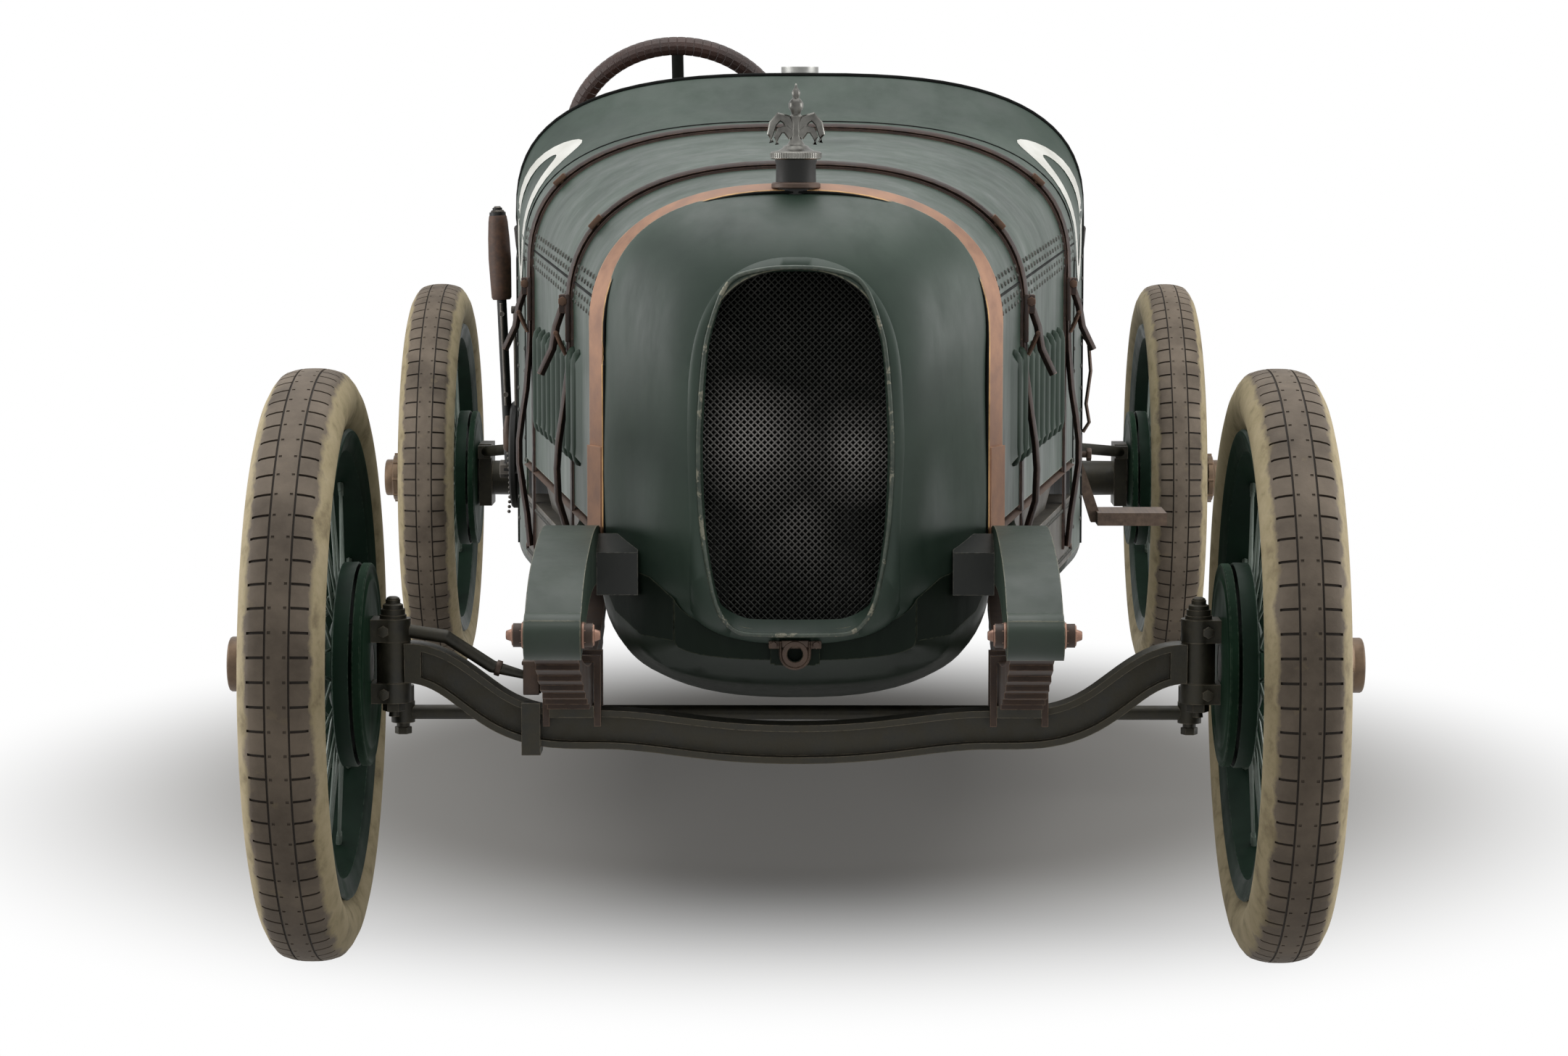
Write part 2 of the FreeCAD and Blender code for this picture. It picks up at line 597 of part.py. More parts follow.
def seat_cushions():
    cushions = []
    half = SEAT_WIDTH / 2 - SEAT_SHEET - SEAT_GAP
    base = SEAT_BASE_Z + SEAT_GAP
    top = base + CUSHION_HEIGHT
    for x in SEAT_XS:
        lean = (2412 - 2306) / (1130 - SEAT_BASE_Z)

        def back_y(z):
            return 2306 + (z - SEAT_BASE_Z) * lean - 1.0

        pad = prism([V(x - half, 1975, base), V(x - half, back_y(base), base), V(x - half, back_y(top), top),
                     V(x - half, 1975, top)], V(2 * half, 0, 0))
        low, high = top + SEAT_GAP, 1085.0
        outline = [V(x - half, back_y(low) - 60, low), V(x - half, back_y(low), low),
                   V(x - half, back_y(high), high), V(x - half, back_y(high) - 42, high)]
        rest = prism(outline, V(2 * half, 0, 0))
        cushions += [pad, rest]
    return cushions


def wheel_axis():
    tilt = math.radians(WHEEL_TILT)
    return V(0, math.cos(tilt), math.sin(tilt))


def column_tube(gap=0.0):
    axis = wheel_axis()
    return rod(WHEEL_CENTRE - axis * COLUMN_LENGTH, WHEEL_CENTRE - axis * COLUMN_TOP, COLUMN_RADIUS + gap)


def steering_column():
    case = Part.makeCylinder(58.0, 70.0, V(24.0 - RAIL_INNER_X, DROP_PIVOT_Y, DROP_PIVOT_Z + 14), ALONG_X)
    shaft = Part.makeCylinder(20.0, 80.0, V(RAIL_WALL - RAIL_OUTER_X, DROP_PIVOT_Y, DROP_PIVOT_Z), ALONG_X)
    return fuse([case, shaft, column_tube()])


def brake_lever():
    y = 1500.0
    wall = body_width(y)
    lean = V(-13, 0, 320).normalize()
    foot = V(-wall - 24, y, 600)
    pieces = [
        rod(foot, foot + lean * 330, 9.0),
        Part.makeCone(17.0, 20.0, 70.0, foot + lean * 318, lean),
        Part.makeCone(20.0, 15.0, 90.0, foot + lean * 388, lean),
        Part.makeCylinder(9.0, 8.0, foot + lean * 478, lean),
        Part.makeCylinder(15.0, 34.0, V(-wall, y, 600), -ALONG_X),
    ]
    sector = Part.makeCylinder(95.0, 7.0, V(-wall - 7, y, 600), ALONG_X)
    pieces.append(sector.common(box(-700, 0, y - 100, y + 100, 600, 700)))
    return fuse(pieces).cut(mirrored(plan_strip(TUB_YS, SHEET, SKIRT_BOTTOM_Z, TUB_WALL_TOP_Z)))


def foot_step():
    y0, y1 = 1560.0, 1680.0
    wall = body_width((y0 + y1) / 2)
    plate = box(wall + 41.5, wall + 171.5, y0, y1, 488, 512)
    arm = prism([V(wall - 6, 1605, 612), V(wall + 12, 1605, 612), V(wall + 50, 1605, 502), V(wall + 50, 1605, 490),
                 V(wall + 32, 1605, 490)], V(0, 30, 0))
    skin = plan_strip(TUB_YS, SHEET + 20, SKIRT_BOTTOM_Z, TUB_WALL_TOP_Z)
    return plate.fuse(arm).cut(skin)


# Front axle: an I-section forging with a boss for each kingpin
def beam_outline(offset):
    """Closed outline of the beam at a distance from its centreline."""
    neck, end = SPRING_X + 59.0, KINGPIN_X - 18.0
    stations = list(BEAM_MIDDLE) + [(mix(neck, end, share), z) for share, z in BEAM_NECK]
    path = spline([V(-x, 0, z) for x, z in reversed(stations[1:])] + [V(x, 0, z) for x, z in stations])
    curve = path.Curve
    first, last = path.ParameterRange
    steps = 22
    upper, lower = [], []
    for i in range(steps + 1):
        at = mix(first, last, i / steps)
        point, tangent = curve.value(at), curve.tangent(at)[0]
        normal = V(-tangent.z, 0, tangent.x)
        upper.append(point + normal * offset)
        lower.append(point - normal * offset)
    return Part.Face(Part.Wire([spline(upper), Part.makeLine(upper[-1], lower[-1]), spline(list(reversed(lower))),
                                Part.makeLine(lower[0], upper[0])]))


def front_axle():
    half = BEAM_DEPTH / 2
    beam = beam_outline(BEAM_HEIGHT / 2).extrude(V(0, BEAM_DEPTH, 0))
    beam.translate(V(0, -half, 0))
    pocket = beam_outline(BEAM_HEIGHT / 2 - BEAM_FLANGE)
    depth = (BEAM_DEPTH - BEAM_WEB) / 2
    limit = box(43.0 - KINGPIN_X, KINGPIN_X - 43.0, -60, 60, 200, 600)
    for y in (-half - 1, half - depth):
        cut = pocket.extrude(V(0, depth + 1, 0))
        cut.translate(V(0, y, 0))
        beam = beam.cut(cut.common(limit))
    pieces = [beam]
    for side in SIDES:
        pieces.append(rod(V(side * KINGPIN_X, 0, BOSS_BOTTOM_Z), V(side * KINGPIN_X, 0, BOSS_TOP_Z), BOSS_RADIUS))
        pieces.append(side_box(side, SPRING_X - 33, SPRING_X + 33, -42, 42, 366, FRONT_SEAT_Z))
    clamp_half = 14.0
    pieces.append(box(-STEER_ARM_X - clamp_half, -STEER_ARM_X + clamp_half, -half - 9, -half, 312, 386))
    pieces.append(box(-STEER_ARM_X - clamp_half, -STEER_ARM_X + clamp_half, -half - 9, half, 308, 322))
    axle = fuse(pieces)
    for side in SIDES:
        axle = axle.cut(Part.makeCylinder(KINGPIN_RADIUS + 0.05, 120, V(side * KINGPIN_X, 0, 390), ALONG_Z))
    return axle


def leaf_pack(x, y_mid, half, leaves, seat_z, eye_z):
    """A pack of curved leaves, the longest on top, with a rolled eye at each end."""
    top_mid = seat_z + leaves * LEAF_THICKNESS
    end = half - SPRING_EYE_RADIUS
    sag = eye_z - SPRING_EYE_RADIUS + LEAF_THICKNESS - top_mid
    radius = (end * end + sag * sag) / (2 * sag)
    centre_z = top_mid + radius
    pieces = []
    for i in range(leaves):
        r0, r1 = radius + i * LEAF_THICKNESS, radius + (i + 1) * LEAF_THICKNESS
        reach = math.asin((end + 16.0) / radius) * (1.0 - i * 0.86 / leaves)
        corner = [V(x - LEAF_WIDTH / 2, y_mid + r * math.sin(a), centre_z - r * math.cos(a))
                  for r, a in ((r0, -reach), (r0, 0.0), (r0, reach), (r1, reach), (r1, 0.0), (r1, -reach))]
        face = Part.Face(Part.Wire([
            Part.Arc(corner[0], corner[1], corner[2]).toShape(), Part.makeLine(corner[2], corner[3]),
            Part.Arc(corner[3], corner[4], corner[5]).toShape(), Part.makeLine(corner[5], corner[0]),
        ]))
        pieces.append(face.extrude(V(LEAF_WIDTH, 0, 0)))
    for y in (y_mid - half, y_mid + half):
        pieces.append(Part.makeCylinder(SPRING_EYE_RADIUS, LEAF_WIDTH, V(x - LEAF_WIDTH / 2, y, eye_z), ALONG_X))
    return pieces


def u_bolt(x, y, low, high, half):
    bow = box(x - half - 10, x + half + 10, y - 5, y + 5, low, high + 10)
    return bow.cut(box(x - half, x + half, y - 6, y + 6, low - 1, high))


def front_springs():
    springs = []
    pin_half = HORN_WIDTH / 2 + 16
    top = FRONT_SEAT_Z + FRONT_LEAVES * LEAF_THICKNESS
    for side in SIDES:
        x = side * SPRING_X
        pieces = leaf_pack(x, 0.0, FRONT_SPRING_HALF, FRONT_LEAVES, FRONT_SEAT_Z, FRONT_EYE_Z)
        nut = pin_half - HORN_WIDTH / 2 - SEAT_GAP
        for y, inner in ((-FRONT_SPRING_HALF, SPRING_X - pin_half), (FRONT_SPRING_HALF, RAIL_INNER_X + 1)):
            reach = SPRING_X + pin_half - inner
            out = V(side, 0, 0)
            pieces.append(Part.makeCylinder(SPRING_PIN_RADIUS, reach, V(side * inner, y, FRONT_EYE_Z), out))
            pieces.append(Part.makeCylinder(16.5, nut, V(side * (SPRING_X + pin_half - nut), y, FRONT_EYE_Z), out))
        inner_nut = V(side * (SPRING_X - pin_half), -FRONT_SPRING_HALF, FRONT_EYE_Z)
        pieces.append(Part.makeCylinder(16.5, nut, inner_nut, out))
        for y in (-30.0, 30.0):
            pieces.append(u_bolt(x, y, 352, top, 33.0))
        springs.append(fuse(pieces))
    return springs


def dust_shield(side, face, y):
    """A dished plate behind a brake drum; face is the x of its outer side."""
    outline = [(face, 0.0), (face, SHIELD_RADIUS), (face - 6, SHIELD_RADIUS), (face - SHIELD_DEPTH, 110.0),
               (face - SHIELD_DEPTH, 0.0)]
    shield = polygon_face([V(a, 0, r) for a, r in outline]).revolve(V(0, 0, 0), ALONG_X, 360)
    shield.translate(V(0, y, HUB_HEIGHT))
    return shield if side > 0 else mirrored(shield)


def knuckle(side):
    """Steering knuckle: a yoke over the axle boss, kingpin, stub axle, dust shield and arms."""
    x = side * KINGPIN_X
    out = V(side, 0, 0)
    upper_z0 = BOSS_TOP_Z + SEAT_GAP
    upper_z1 = upper_z0 + YOKE_THICKNESS + 4
    lower_z1 = BOSS_BOTTOM_Z - SEAT_GAP
    lower_z0 = lower_z1 - YOKE_THICKNESS
    back = KNUCKLE_BACK
    pieces = [
        Part.makeCylinder(BOSS_RADIUS + 1, upper_z1 - upper_z0, V(x, 0, upper_z0), ALONG_Z),
        Part.makeCylinder(BOSS_RADIUS + 1, lower_z1 - lower_z0, V(x, 0, lower_z0), ALONG_Z),
        side_box(side, KINGPIN_X, back + 5, -24, 24, upper_z0, upper_z1),
        side_box(side, KINGPIN_X, back + 5, -24, 24, lower_z0, lower_z1),
        side_box(side, back - 3, back + 5, -34, 34, lower_z0, upper_z1),
        Part.makeCylinder(KINGPIN_RADIUS, upper_z1 - lower_z0, V(x, 0, lower_z0), ALONG_Z),
        Part.makeCylinder(18.0, 14.0, V(x, 0, upper_z1), ALONG_Z),
        Part.makeCylinder(11.0, 14.0, V(x, 0, upper_z1 + 14), ALONG_Z),
        Part.makeCylinder(STUB_RADIUS, 170.0, V(side * back, 0, HUB_HEIGHT), out),
    ]
    pieces.append(dust_shield(side, back + SHIELD_DEPTH, 0.0))
    ball_z = TIE_ROD_Z + 17 + SEAT_GAP
    pieces.append(rod(V(x, 15, lower_z0 + 14), V(x, TIE_ARM_Y, ball_z + 12), 11.0))
    pieces.append(Part.makeCylinder(17.0, 24.0, V(x, TIE_ARM_Y, ball_z), ALONG_Z))
    if side < 0:
        start = V(-KINGPIN_X, 0, upper_z0 + 18)
        bend = V(-mix(KINGPIN_X, STEER_ARM_X, 0.38), 0, upper_z0 + 6)
        knee = V(-mix(KINGPIN_X, STEER_ARM_X, 0.71), 0, STEER_ARM_Z + 16)
        end = V(-STEER_ARM_X, 0, STEER_ARM_Z)
        pieces += [rod(start, bend, 10.0), Part.makeSphere(10.0, bend), rod(bend, knee, 9.5),
                   Part.makeSphere(9.5, knee), Part.makeCone(9.5, 5.5, (end - knee).Length, knee, end - knee)]
    body = fuse(pieces)
    if side < 0:
        body = body.cut(Part.makeCylinder(STEER_SOCKET_RADIUS + SEAT_GAP, 100, V(-STEER_ARM_X, 0, STEER_ARM_Z - 50),
                                          ALONG_Z))
    return body


def tie_rod():
    pieces = [rod(V(-KINGPIN_X, TIE_ARM_Y, TIE_ROD_Z), V(KINGPIN_X, TIE_ARM_Y, TIE_ROD_Z), TIE_ROD_RADIUS)]
    for side in SIDES:
        x = side * KINGPIN_X
        pieces.append(Part.makeCylinder(18.0, 32.0, V(x, TIE_ARM_Y, TIE_ROD_Z - 15), ALONG_Z))
        pieces.append(Part.makeCylinder(10.0, 9.0, V(x, TIE_ARM_Y, TIE_ROD_Z - 24), ALONG_Z))
    return fuse(pieces)


def drag_link():
    socket = Part.makeCylinder(STEER_SOCKET_RADIUS, 46.0, V(-STEER_ARM_X, 0, STEER_ARM_Z - 24), ALONG_Z)
    start = V(-STEER_ARM_X, 0, STEER_ARM_Z)
    end = V(-STEER_ARM_X, DROP_PIVOT_Y, STEER_ARM_Z)
    neck = Part.makeCone(5.5, 8.5, 60.0, start, ALONG_Y)
    bar = rod(start + ALONG_Y * 60.0, end, 8.5).fuse(neck)
    eye = Part.makeCylinder(17.0, 18.0, V(-STEER_ARM_X - 9, DROP_PIVOT_Y, STEER_ARM_Z), ALONG_X)
    return fuse([socket, bar, eye])


def drop_arm():
    face = RAIL_OUTER_X + SEAT_GAP
    eye = DROP_PIVOT_Z - DROP_ARM_LENGTH
    hub = Part.makeCylinder(22.0, DROP_ARM_THICKNESS, V(-face, DROP_PIVOT_Y, DROP_PIVOT_Z), -ALONG_X)
    arm = prism([V(0, -16, 0), V(0, 16, 0), V(0, 10, -DROP_ARM_LENGTH), V(0, -10, -DROP_ARM_LENGTH)],
                V(-DROP_ARM_THICKNESS, 0, 0))
    arm.translate(V(-face, DROP_PIVOT_Y, DROP_PIVOT_Z))
    end = Part.makeCylinder(14.0, DROP_ARM_THICKNESS, V(-face, DROP_PIVOT_Y, eye), -ALONG_X)
    pin_end = STEER_ARM_X - 9 - 5
    pin = Part.makeCylinder(8.0, pin_end - face, V(-face, DROP_PIVOT_Y, eye), -ALONG_X)
    return fuse([hub, arm, end, pin])


def steering_wheel():
    pieces = [Part.makeTorus(WHEEL_RADIUS, WHEEL_RIM_RADIUS), Part.makeCylinder(30.0, 34.0, V(0, 0, -30), ALONG_Z)]
    for i in range(4):
        spoke = box(-11, 11, 20, WHEEL_RADIUS - 8, -9, -2)
        spoke.rotate(V(0, 0, 0), ALONG_Z, 90.0 * i)
        pieces.append(spoke)
    wheel = fuse(pieces)
    wheel.rotate(V(0, 0, 0), ALONG_X, -(90.0 - WHEEL_TILT))
    wheel.translate(WHEEL_CENTRE)
    return wheel


def scuttle_tank():
    front = COWL_FRONT_Y + 7
    tank = box(-200, 200, front, 1460, 1090, 1195)
    tank = tank.makeFillet(35.0, [e for e in tank.Edges if abs(e.Vertexes[0].X - e.Vertexes[-1].X) > 100])
    neck = Part.makeCylinder(24.0, 130.0, V(0, 1432, 1195), ALONG_Z)
    cap = Part.makeCylinder(34.0, 22.0, V(0, 1436, 1322), ALONG_Z)
    return fuse([tank, neck, cap])


# Bonnet: a hinged top over two louvred sides
def bonnet_top():
    shell = bonnet_slice(BONNET_FRONT_Y + SEAT_GAP, COWL_FRONT_Y - SEAT_GAP, BONNET_BOTTOM_Z)
    return shell.common(hinge_half(True))


def louvre(y):
    """A pressed louvre, half open to the rear, standing proud of the bonnet side."""
    half = LOUVRE_LENGTH / 2

    def at(dy, proud):
        return V(body_width(y + dy) + proud, y + dy, LOUVRE_LOW_Z)

    outline = [at(-half, -2), at(half * 0.6, LOUVRE_PROUD), at(half, LOUVRE_PROUD * 0.8), at(half, -2)]
    hood = prism(outline, V(0, 0, LOUVRE_HIGH_Z - LOUVRE_LOW_Z))
    near, far = body_width(y - half), body_width(y + half)
    tapers = prism([V(near - 3, y - half, LOUVRE_LOW_Z), V(near + LOUVRE_PROUD, y - half, LOUVRE_LOW_Z + 18),
                    V(near + LOUVRE_PROUD, y - half, LOUVRE_HIGH_Z - 24), V(near - 3, y - half, LOUVRE_HIGH_Z)],
                   V(far - near, LOUVRE_LENGTH, 0))
    return hood.common(tapers)


def bonnet_sides():
    shell = bonnet_slice(BONNET_FRONT_Y + SEAT_GAP, COWL_FRONT_Y - SEAT_GAP, BONNET_BOTTOM_Z)
    lower = shell.common(hinge_half(False))
    ribs = [louvre(LOUVRE_FRONT_Y + i * LOUVRE_PITCH) for i in range(LOUVRE_COUNT)]
    right = [s for s in lower.Solids if s.CenterOfMass.x > 0][0]
    return both_sides(fuse([right] + ribs))


def bonnet_straps():
    cover = bonnet_slice(BONNET_FRONT_Y, COWL_FRONT_Y, STRAP_JOIN_Z, STRAP_THICKNESS + SEAT_GAP, STRAP_THICKNESS)
    half = STRAP_WIDTH / 2
    return [cover.common(box(-600, 600, y - half, y + half, STRAP_JOIN_Z, 1400)) for y in STRAP_YS]


def strap_tails():
    """The lower lengths of the straps, from the toggles down to the skirt."""
    tails = []
    half = STRAP_WIDTH / 2
    for y in STRAP_YS:
        foot = STRAP_FOOT_Z if y > SKIRT_FRONT_Y else RAIL_BOTTOM_Z + 20
        tail_strip = plan_strip((y - half, y + half), STRAP_THICKNESS, foot, STRAP_JOIN_Z - SEAT_GAP,
                                STRAP_THICKNESS + SEAT_GAP)
        if y < SKIRT_FRONT_Y:
            tail_strip = tail_strip.fuse(box(RAIL_OUTER_X, body_width(y) + 1, y - 9, y + 9, foot + 4, foot + 22))
        tails += both_sides(tail_strip)
    return tails


def strap_toggles():
    toggles = []
    for y in STRAP_YS:
        w = body_width(y + 6) + STRAP_THICKNESS + 3 * SEAT_GAP
        outline = [V(w, y, 968), V(w + 8, y, 968), V(w + 26, y, 925), V(w + 32, y, 890), V(w + 50, y, 850),
                   V(w + 42, y, 846), V(w + 22, y, 888), V(w + 16, y, 918), V(w, y, 940)]
        lever = prism(outline, V(0, 12, 0))
        lever.translate(V(0, -6, 0))
        toggles += both_sides(lever)
    return toggles


# Rear axle
def rear_axle():
    y, z = WHEELBASE, HUB_HEIGHT
    back = TRACK_REAR / 2 - DRUM_DEPTH - DRUM_GAP
    outline = [(-back, 0.0), (-back, 38.0), (-150.0, 46.0), (-88.0, 118.0), (-30.0, 136.0), (30.0, 136.0),
               (88.0, 118.0), (150.0, 46.0), (back, 38.0), (back, 0.0)]
    tube = polygon_face([V(a, 0, r) for a, r in outline]).revolve(V(0, 0, 0), ALONG_X, 360)
    tube.translate(V(0, y, z))
    pieces = [tube, Part.makeCone(34.0, 62.0, 990.0, V(0, y - 1090, 500), V(0, 990, 440 - 500))]
    for side in SIDES:
        pieces.append(dust_shield(side, back, y))
        pieces.append(Part.makeCylinder(STUB_RADIUS, 168.0, V(side * back, y, z), V(side, 0, 0)))
        pieces.append(side_box(side, back - 46, back - 18, y - 50, y + 50, 380, 520))
        pieces.append(side_box(side, REAR_SPRING_X - 33, REAR_SPRING_X + 33, y - 40, y + 40, 440, REAR_SEAT_Z))
    return fuse(pieces)


def rear_springs():
    springs = []
    top = REAR_SEAT_Z + REAR_LEAVES * LEAF_THICKNESS
    for side in SIDES:
        x = side * REAR_SPRING_X
        pieces = leaf_pack(x, WHEELBASE, REAR_SPRING_HALF, REAR_LEAVES, REAR_SEAT_Z, REAR_EYE_Z)
        outer = REAR_SPRING_X + LEAF_WIDTH / 2 + 8
        for y in (WHEELBASE - REAR_SPRING_HALF, WHEELBASE + REAR_SPRING_HALF):
            pieces.append(Part.makeCylinder(13.0, outer - RAIL_OUTER_X, V(side * RAIL_OUTER_X, y, REAR_EYE_Z),
                                            V(side, 0, 0)))
        for y in (WHEELBASE - 50, WHEELBASE + 50):
            pieces.append(u_bolt(x, y, 398, top, 33.0))
        springs.append(fuse(pieces))
    return springs


def radius_rods():
    rods = []
    back = TRACK_REAR / 2 - DRUM_DEPTH - DRUM_GAP
    for side in SIDES:
        start = V(side * (RAIL_OUTER_X + 16), 2300, 592)
        end = V(side * (back - 32), WHEELBASE - 66, 505)
        lug = side_box(side, back - 46, back - 18, WHEELBASE - 80, WHEELBASE - 50, 490, 518)
        rods.append(fuse([rod(start, end, 12.0), lug,
                          Part.makeCylinder(18.0, 30.0, V(side * RAIL_OUTER_X, 2300, 592), V(side, 0, 0))]))
    return rods


# Wheels
def tyre(x, y):
    """A tyre that stands on the rim's two flanges."""
    half = TYRE_WIDTH / 2
    lip = BEAD_DIAMETER / 2 + SEAT_GAP
    lip_half = RIM_HALF + 2.0
    widest = mix(lip, HUB_HEIGHT, 0.5)
    outline = [(-lip_half, lip), (-half, widest), (-TREAD_HALF, HUB_HEIGHT), (TREAD_HALF, HUB_HEIGHT), (half, widest),
               (lip_half, lip)]
    solid = polygon_face([V(a, 0, r) for a, r in outline]).revolve(V(0, 0, 0), ALONG_X, 360)
    solid.translate(V(x, y, HUB_HEIGHT))
    return solid


def spoke(r0, x0, r1, x1, angle, sweep):
    """A thin square bar from the hub flange to the rim, leaning by sweep degrees."""
    a0, a1 = math.radians(angle), math.radians(angle + sweep)
    start = V(x0, r0 * math.sin(a0), r0 * math.cos(a0))
    end = V(x1, r1 * math.sin(a1), r1 * math.cos(a1))
    run = end - start
    bar = Part.makeBox(SPOKE_SIZE, SPOKE_SIZE, run.Length, V(-SPOKE_SIZE / 2, -SPOKE_SIZE / 2, 0))
    bar.Placement = FreeCAD.Placement(start, FreeCAD.Rotation(ALONG_Z, run))
    return bar


def wire_wheel(x, y, side):
    """Rim, hub, drum, spokes and hub nut, drawn with +x outboard and turned to its side."""
    well = RIM_WELL_RADIUS
    flange = BEAD_DIAMETER / 2
    rim_outline = [(-RIM_HALF, flange), (-RIM_HALF, well), (RIM_HALF, well), (RIM_HALF, flange),
                   (RIM_HALF - RIM_WALL, flange), (RIM_HALF - RIM_WALL, well + RIM_WALL),
                   (-RIM_HALF + RIM_WALL, well + RIM_WALL), (-RIM_HALF + RIM_WALL, flange)]
    rim = polygon_face([V(a, 0, r) for a, r in rim_outline]).revolve(V(0, 0, 0), ALONG_X, 360)
    hub_outline = [(-58.0, HUB_BORE), (-58.0, 60.0), (-50.0, 60.0), (-50.0, DRUM_RADIUS - 4),
                   (-DRUM_DEPTH, DRUM_RADIUS - 3), (-DRUM_DEPTH, DRUM_RADIUS), (-40.0, DRUM_RADIUS), (-40.0, 78.0),
                   (-30.0, 76.0), (-24.0, 48.0), (78.0, 38.0), (82.0, 52.0),
                   (100.0, 52.0), (102.0, 41.0), (129.0, 41.0), (129.0, 0.0), (104.0, 0.0), (104.0, HUB_BORE)]
    hub = polygon_face([V(a, 0, r) for a, r in hub_outline]).revolve(V(0, 0, 0), ALONG_X, 360)
    spokes = []
    for i in range(SPOKES_PER_ROW):
        angle = 360.0 * i / SPOKES_PER_ROW
        sweep = 24.0 if i % 2 else -24.0
        spokes.append(spoke(66.0, -36.0, well + 2, -14.0, angle, sweep))
        spokes.append(spoke(44.0, 88.0, well + 2, 14.0, angle + 9.0, sweep))
    wheel = rim.multiFuse([hub] + spokes)
    if side < 0:
        wheel = mirrored(wheel)
    wheel.translate(V(x, y, HUB_HEIGHT))
    return wheel


def save(name, shapes):
    """Writes one node, moved so that the origin is under the middle of the car."""
    if not isinstance(shapes, list):
        shapes = [shapes]
    solids = []
    for shape in shapes:
        solids += shape.Solids
    moved = Part.makeCompound(solids) if len(solids) > 1 else solids[0].copy()
    moved.translate(V(0, -MID_Y, 0))
    moved.exportStep(os.path.join("parts", name + ".step"))


BODY_NODES = (side_rails, cross_members, nose_shell, nose_brackets, radiator_core, grille_mesh, copper_band, filler_cap,
              crank_socket, belly_pan, side_skirts, engine_block, bulkhead, cowl, cockpit_sides, cockpit_floor, tail,
              seat_shells, seat_cushions, steering_column, brake_lever, foot_step, front_axle, front_springs, tie_rod,
              drag_link, drop_arm, steering_wheel, scuttle_tank, bonnet_top, bonnet_sides, bonnet_straps, strap_tails,
              strap_toggles, rear_axle, rear_springs, radius_rods)


def main():
    os.makedirs("parts", exist_ok=True)
    for make in BODY_NODES:
        save(make.__name__, make())
    for name, side in (("left", 1), ("right", -1)):
        save("knuckle_" + name, knuckle(side))
        for end, track, y in (("front", TRACK_FRONT, 0.0), ("rear", TRACK_REAR, WHEELBASE)):
            x = side * track / 2
            save("tyre_" + end + "_" + name, tyre(x, y))
            save("wheel_" + end + "_" + name, wire_wheel(x, y, side))


main()
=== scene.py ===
import json
import math

import bmesh
import bpy
from mathutils import Matrix, Vector


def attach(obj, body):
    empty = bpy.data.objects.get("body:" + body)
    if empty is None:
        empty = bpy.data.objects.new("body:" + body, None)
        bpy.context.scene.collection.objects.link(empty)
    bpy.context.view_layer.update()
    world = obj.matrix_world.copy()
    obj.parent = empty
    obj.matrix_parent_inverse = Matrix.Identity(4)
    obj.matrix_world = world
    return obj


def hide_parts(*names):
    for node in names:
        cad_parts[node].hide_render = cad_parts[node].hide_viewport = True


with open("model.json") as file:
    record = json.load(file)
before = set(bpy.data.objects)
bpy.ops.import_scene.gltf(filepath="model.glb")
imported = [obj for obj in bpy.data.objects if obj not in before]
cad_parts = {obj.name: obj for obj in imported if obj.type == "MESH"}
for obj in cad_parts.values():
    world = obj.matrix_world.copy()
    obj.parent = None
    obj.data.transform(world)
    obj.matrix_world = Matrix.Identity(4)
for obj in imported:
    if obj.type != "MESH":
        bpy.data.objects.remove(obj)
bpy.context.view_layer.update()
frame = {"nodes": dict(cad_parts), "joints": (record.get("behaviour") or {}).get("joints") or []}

# An open racing car of about 1912. Sizes are millimetres, with y counted from the front axle.
MM = 0.001
NODES = frame["nodes"]
JOINTS = {joint["name"]: joint for joint in frame["joints"]}
FRONT_AXLE_Y = JOINTS["steer_right"]["pos_m"][1]
WHEEL_CENTRES = {name: Vector(JOINTS["spin_" + name]["pos_m"])
                 for name in ("front_left", "front_right", "rear_left", "rear_right")}
SIDES = (1, -1)
X, Y, Z = Vector((1, 0, 0)), Vector((0, 1, 0)), Vector((0, 0, 1))
ORIGIN = Vector((0, 0, 0))
MERGE = 0.00002


def at(x, y, z):
    """A point of the car in the frame, in metres."""
    return Vector((x * MM, y * MM + FRONT_AXLE_Y, z * MM))


# Materials
def linear(code):
    """sRGB hex to linear RGBA."""
    channels = [int(code[i:i + 2], 16) / 255 for i in (1, 3, 5)]
    return tuple(c / 12.92 if c <= 0.04045 else ((c + 0.055) / 1.055) ** 2.4 for c in channels) + (1.0,)


def wire(tree, node, links=(), stops=(), **settings):
    """Gives a node its settings, links and ramp colours; a linked node gives its first output."""
    for name, value in settings.items():
        if hasattr(node, name):
            setattr(node, name, value)
        else:
            node.inputs[name.replace("_", " ")].default_value = value
    for socket, source in links:
        output = source if isinstance(source, bpy.types.NodeSocket) else source.outputs[0]
        tree.links.new(output, node.inputs[socket])
    if stops:
        elements = node.color_ramp.elements
        while len(elements) < len(stops):
            elements.new(0.5)
        for element, (place, code) in zip(elements, stops):
            element.position = place
            element.color = linear(code)
    return node


def add(tree, kind, links=(), **settings):
    """Adds a node with its settings and links."""
    return wire(tree, tree.nodes.new("ShaderNode" + kind), links, **settings)


def new_material(name):
    """A material with its tree, its shader and the place on the piece that its patterns read."""
    material = bpy.data.materials.new(name)
    material.use_nodes = True
    tree = material.node_tree
    return material, tree, tree.nodes["Principled BSDF"], add(tree, "TexCoord").outputs["Object"]


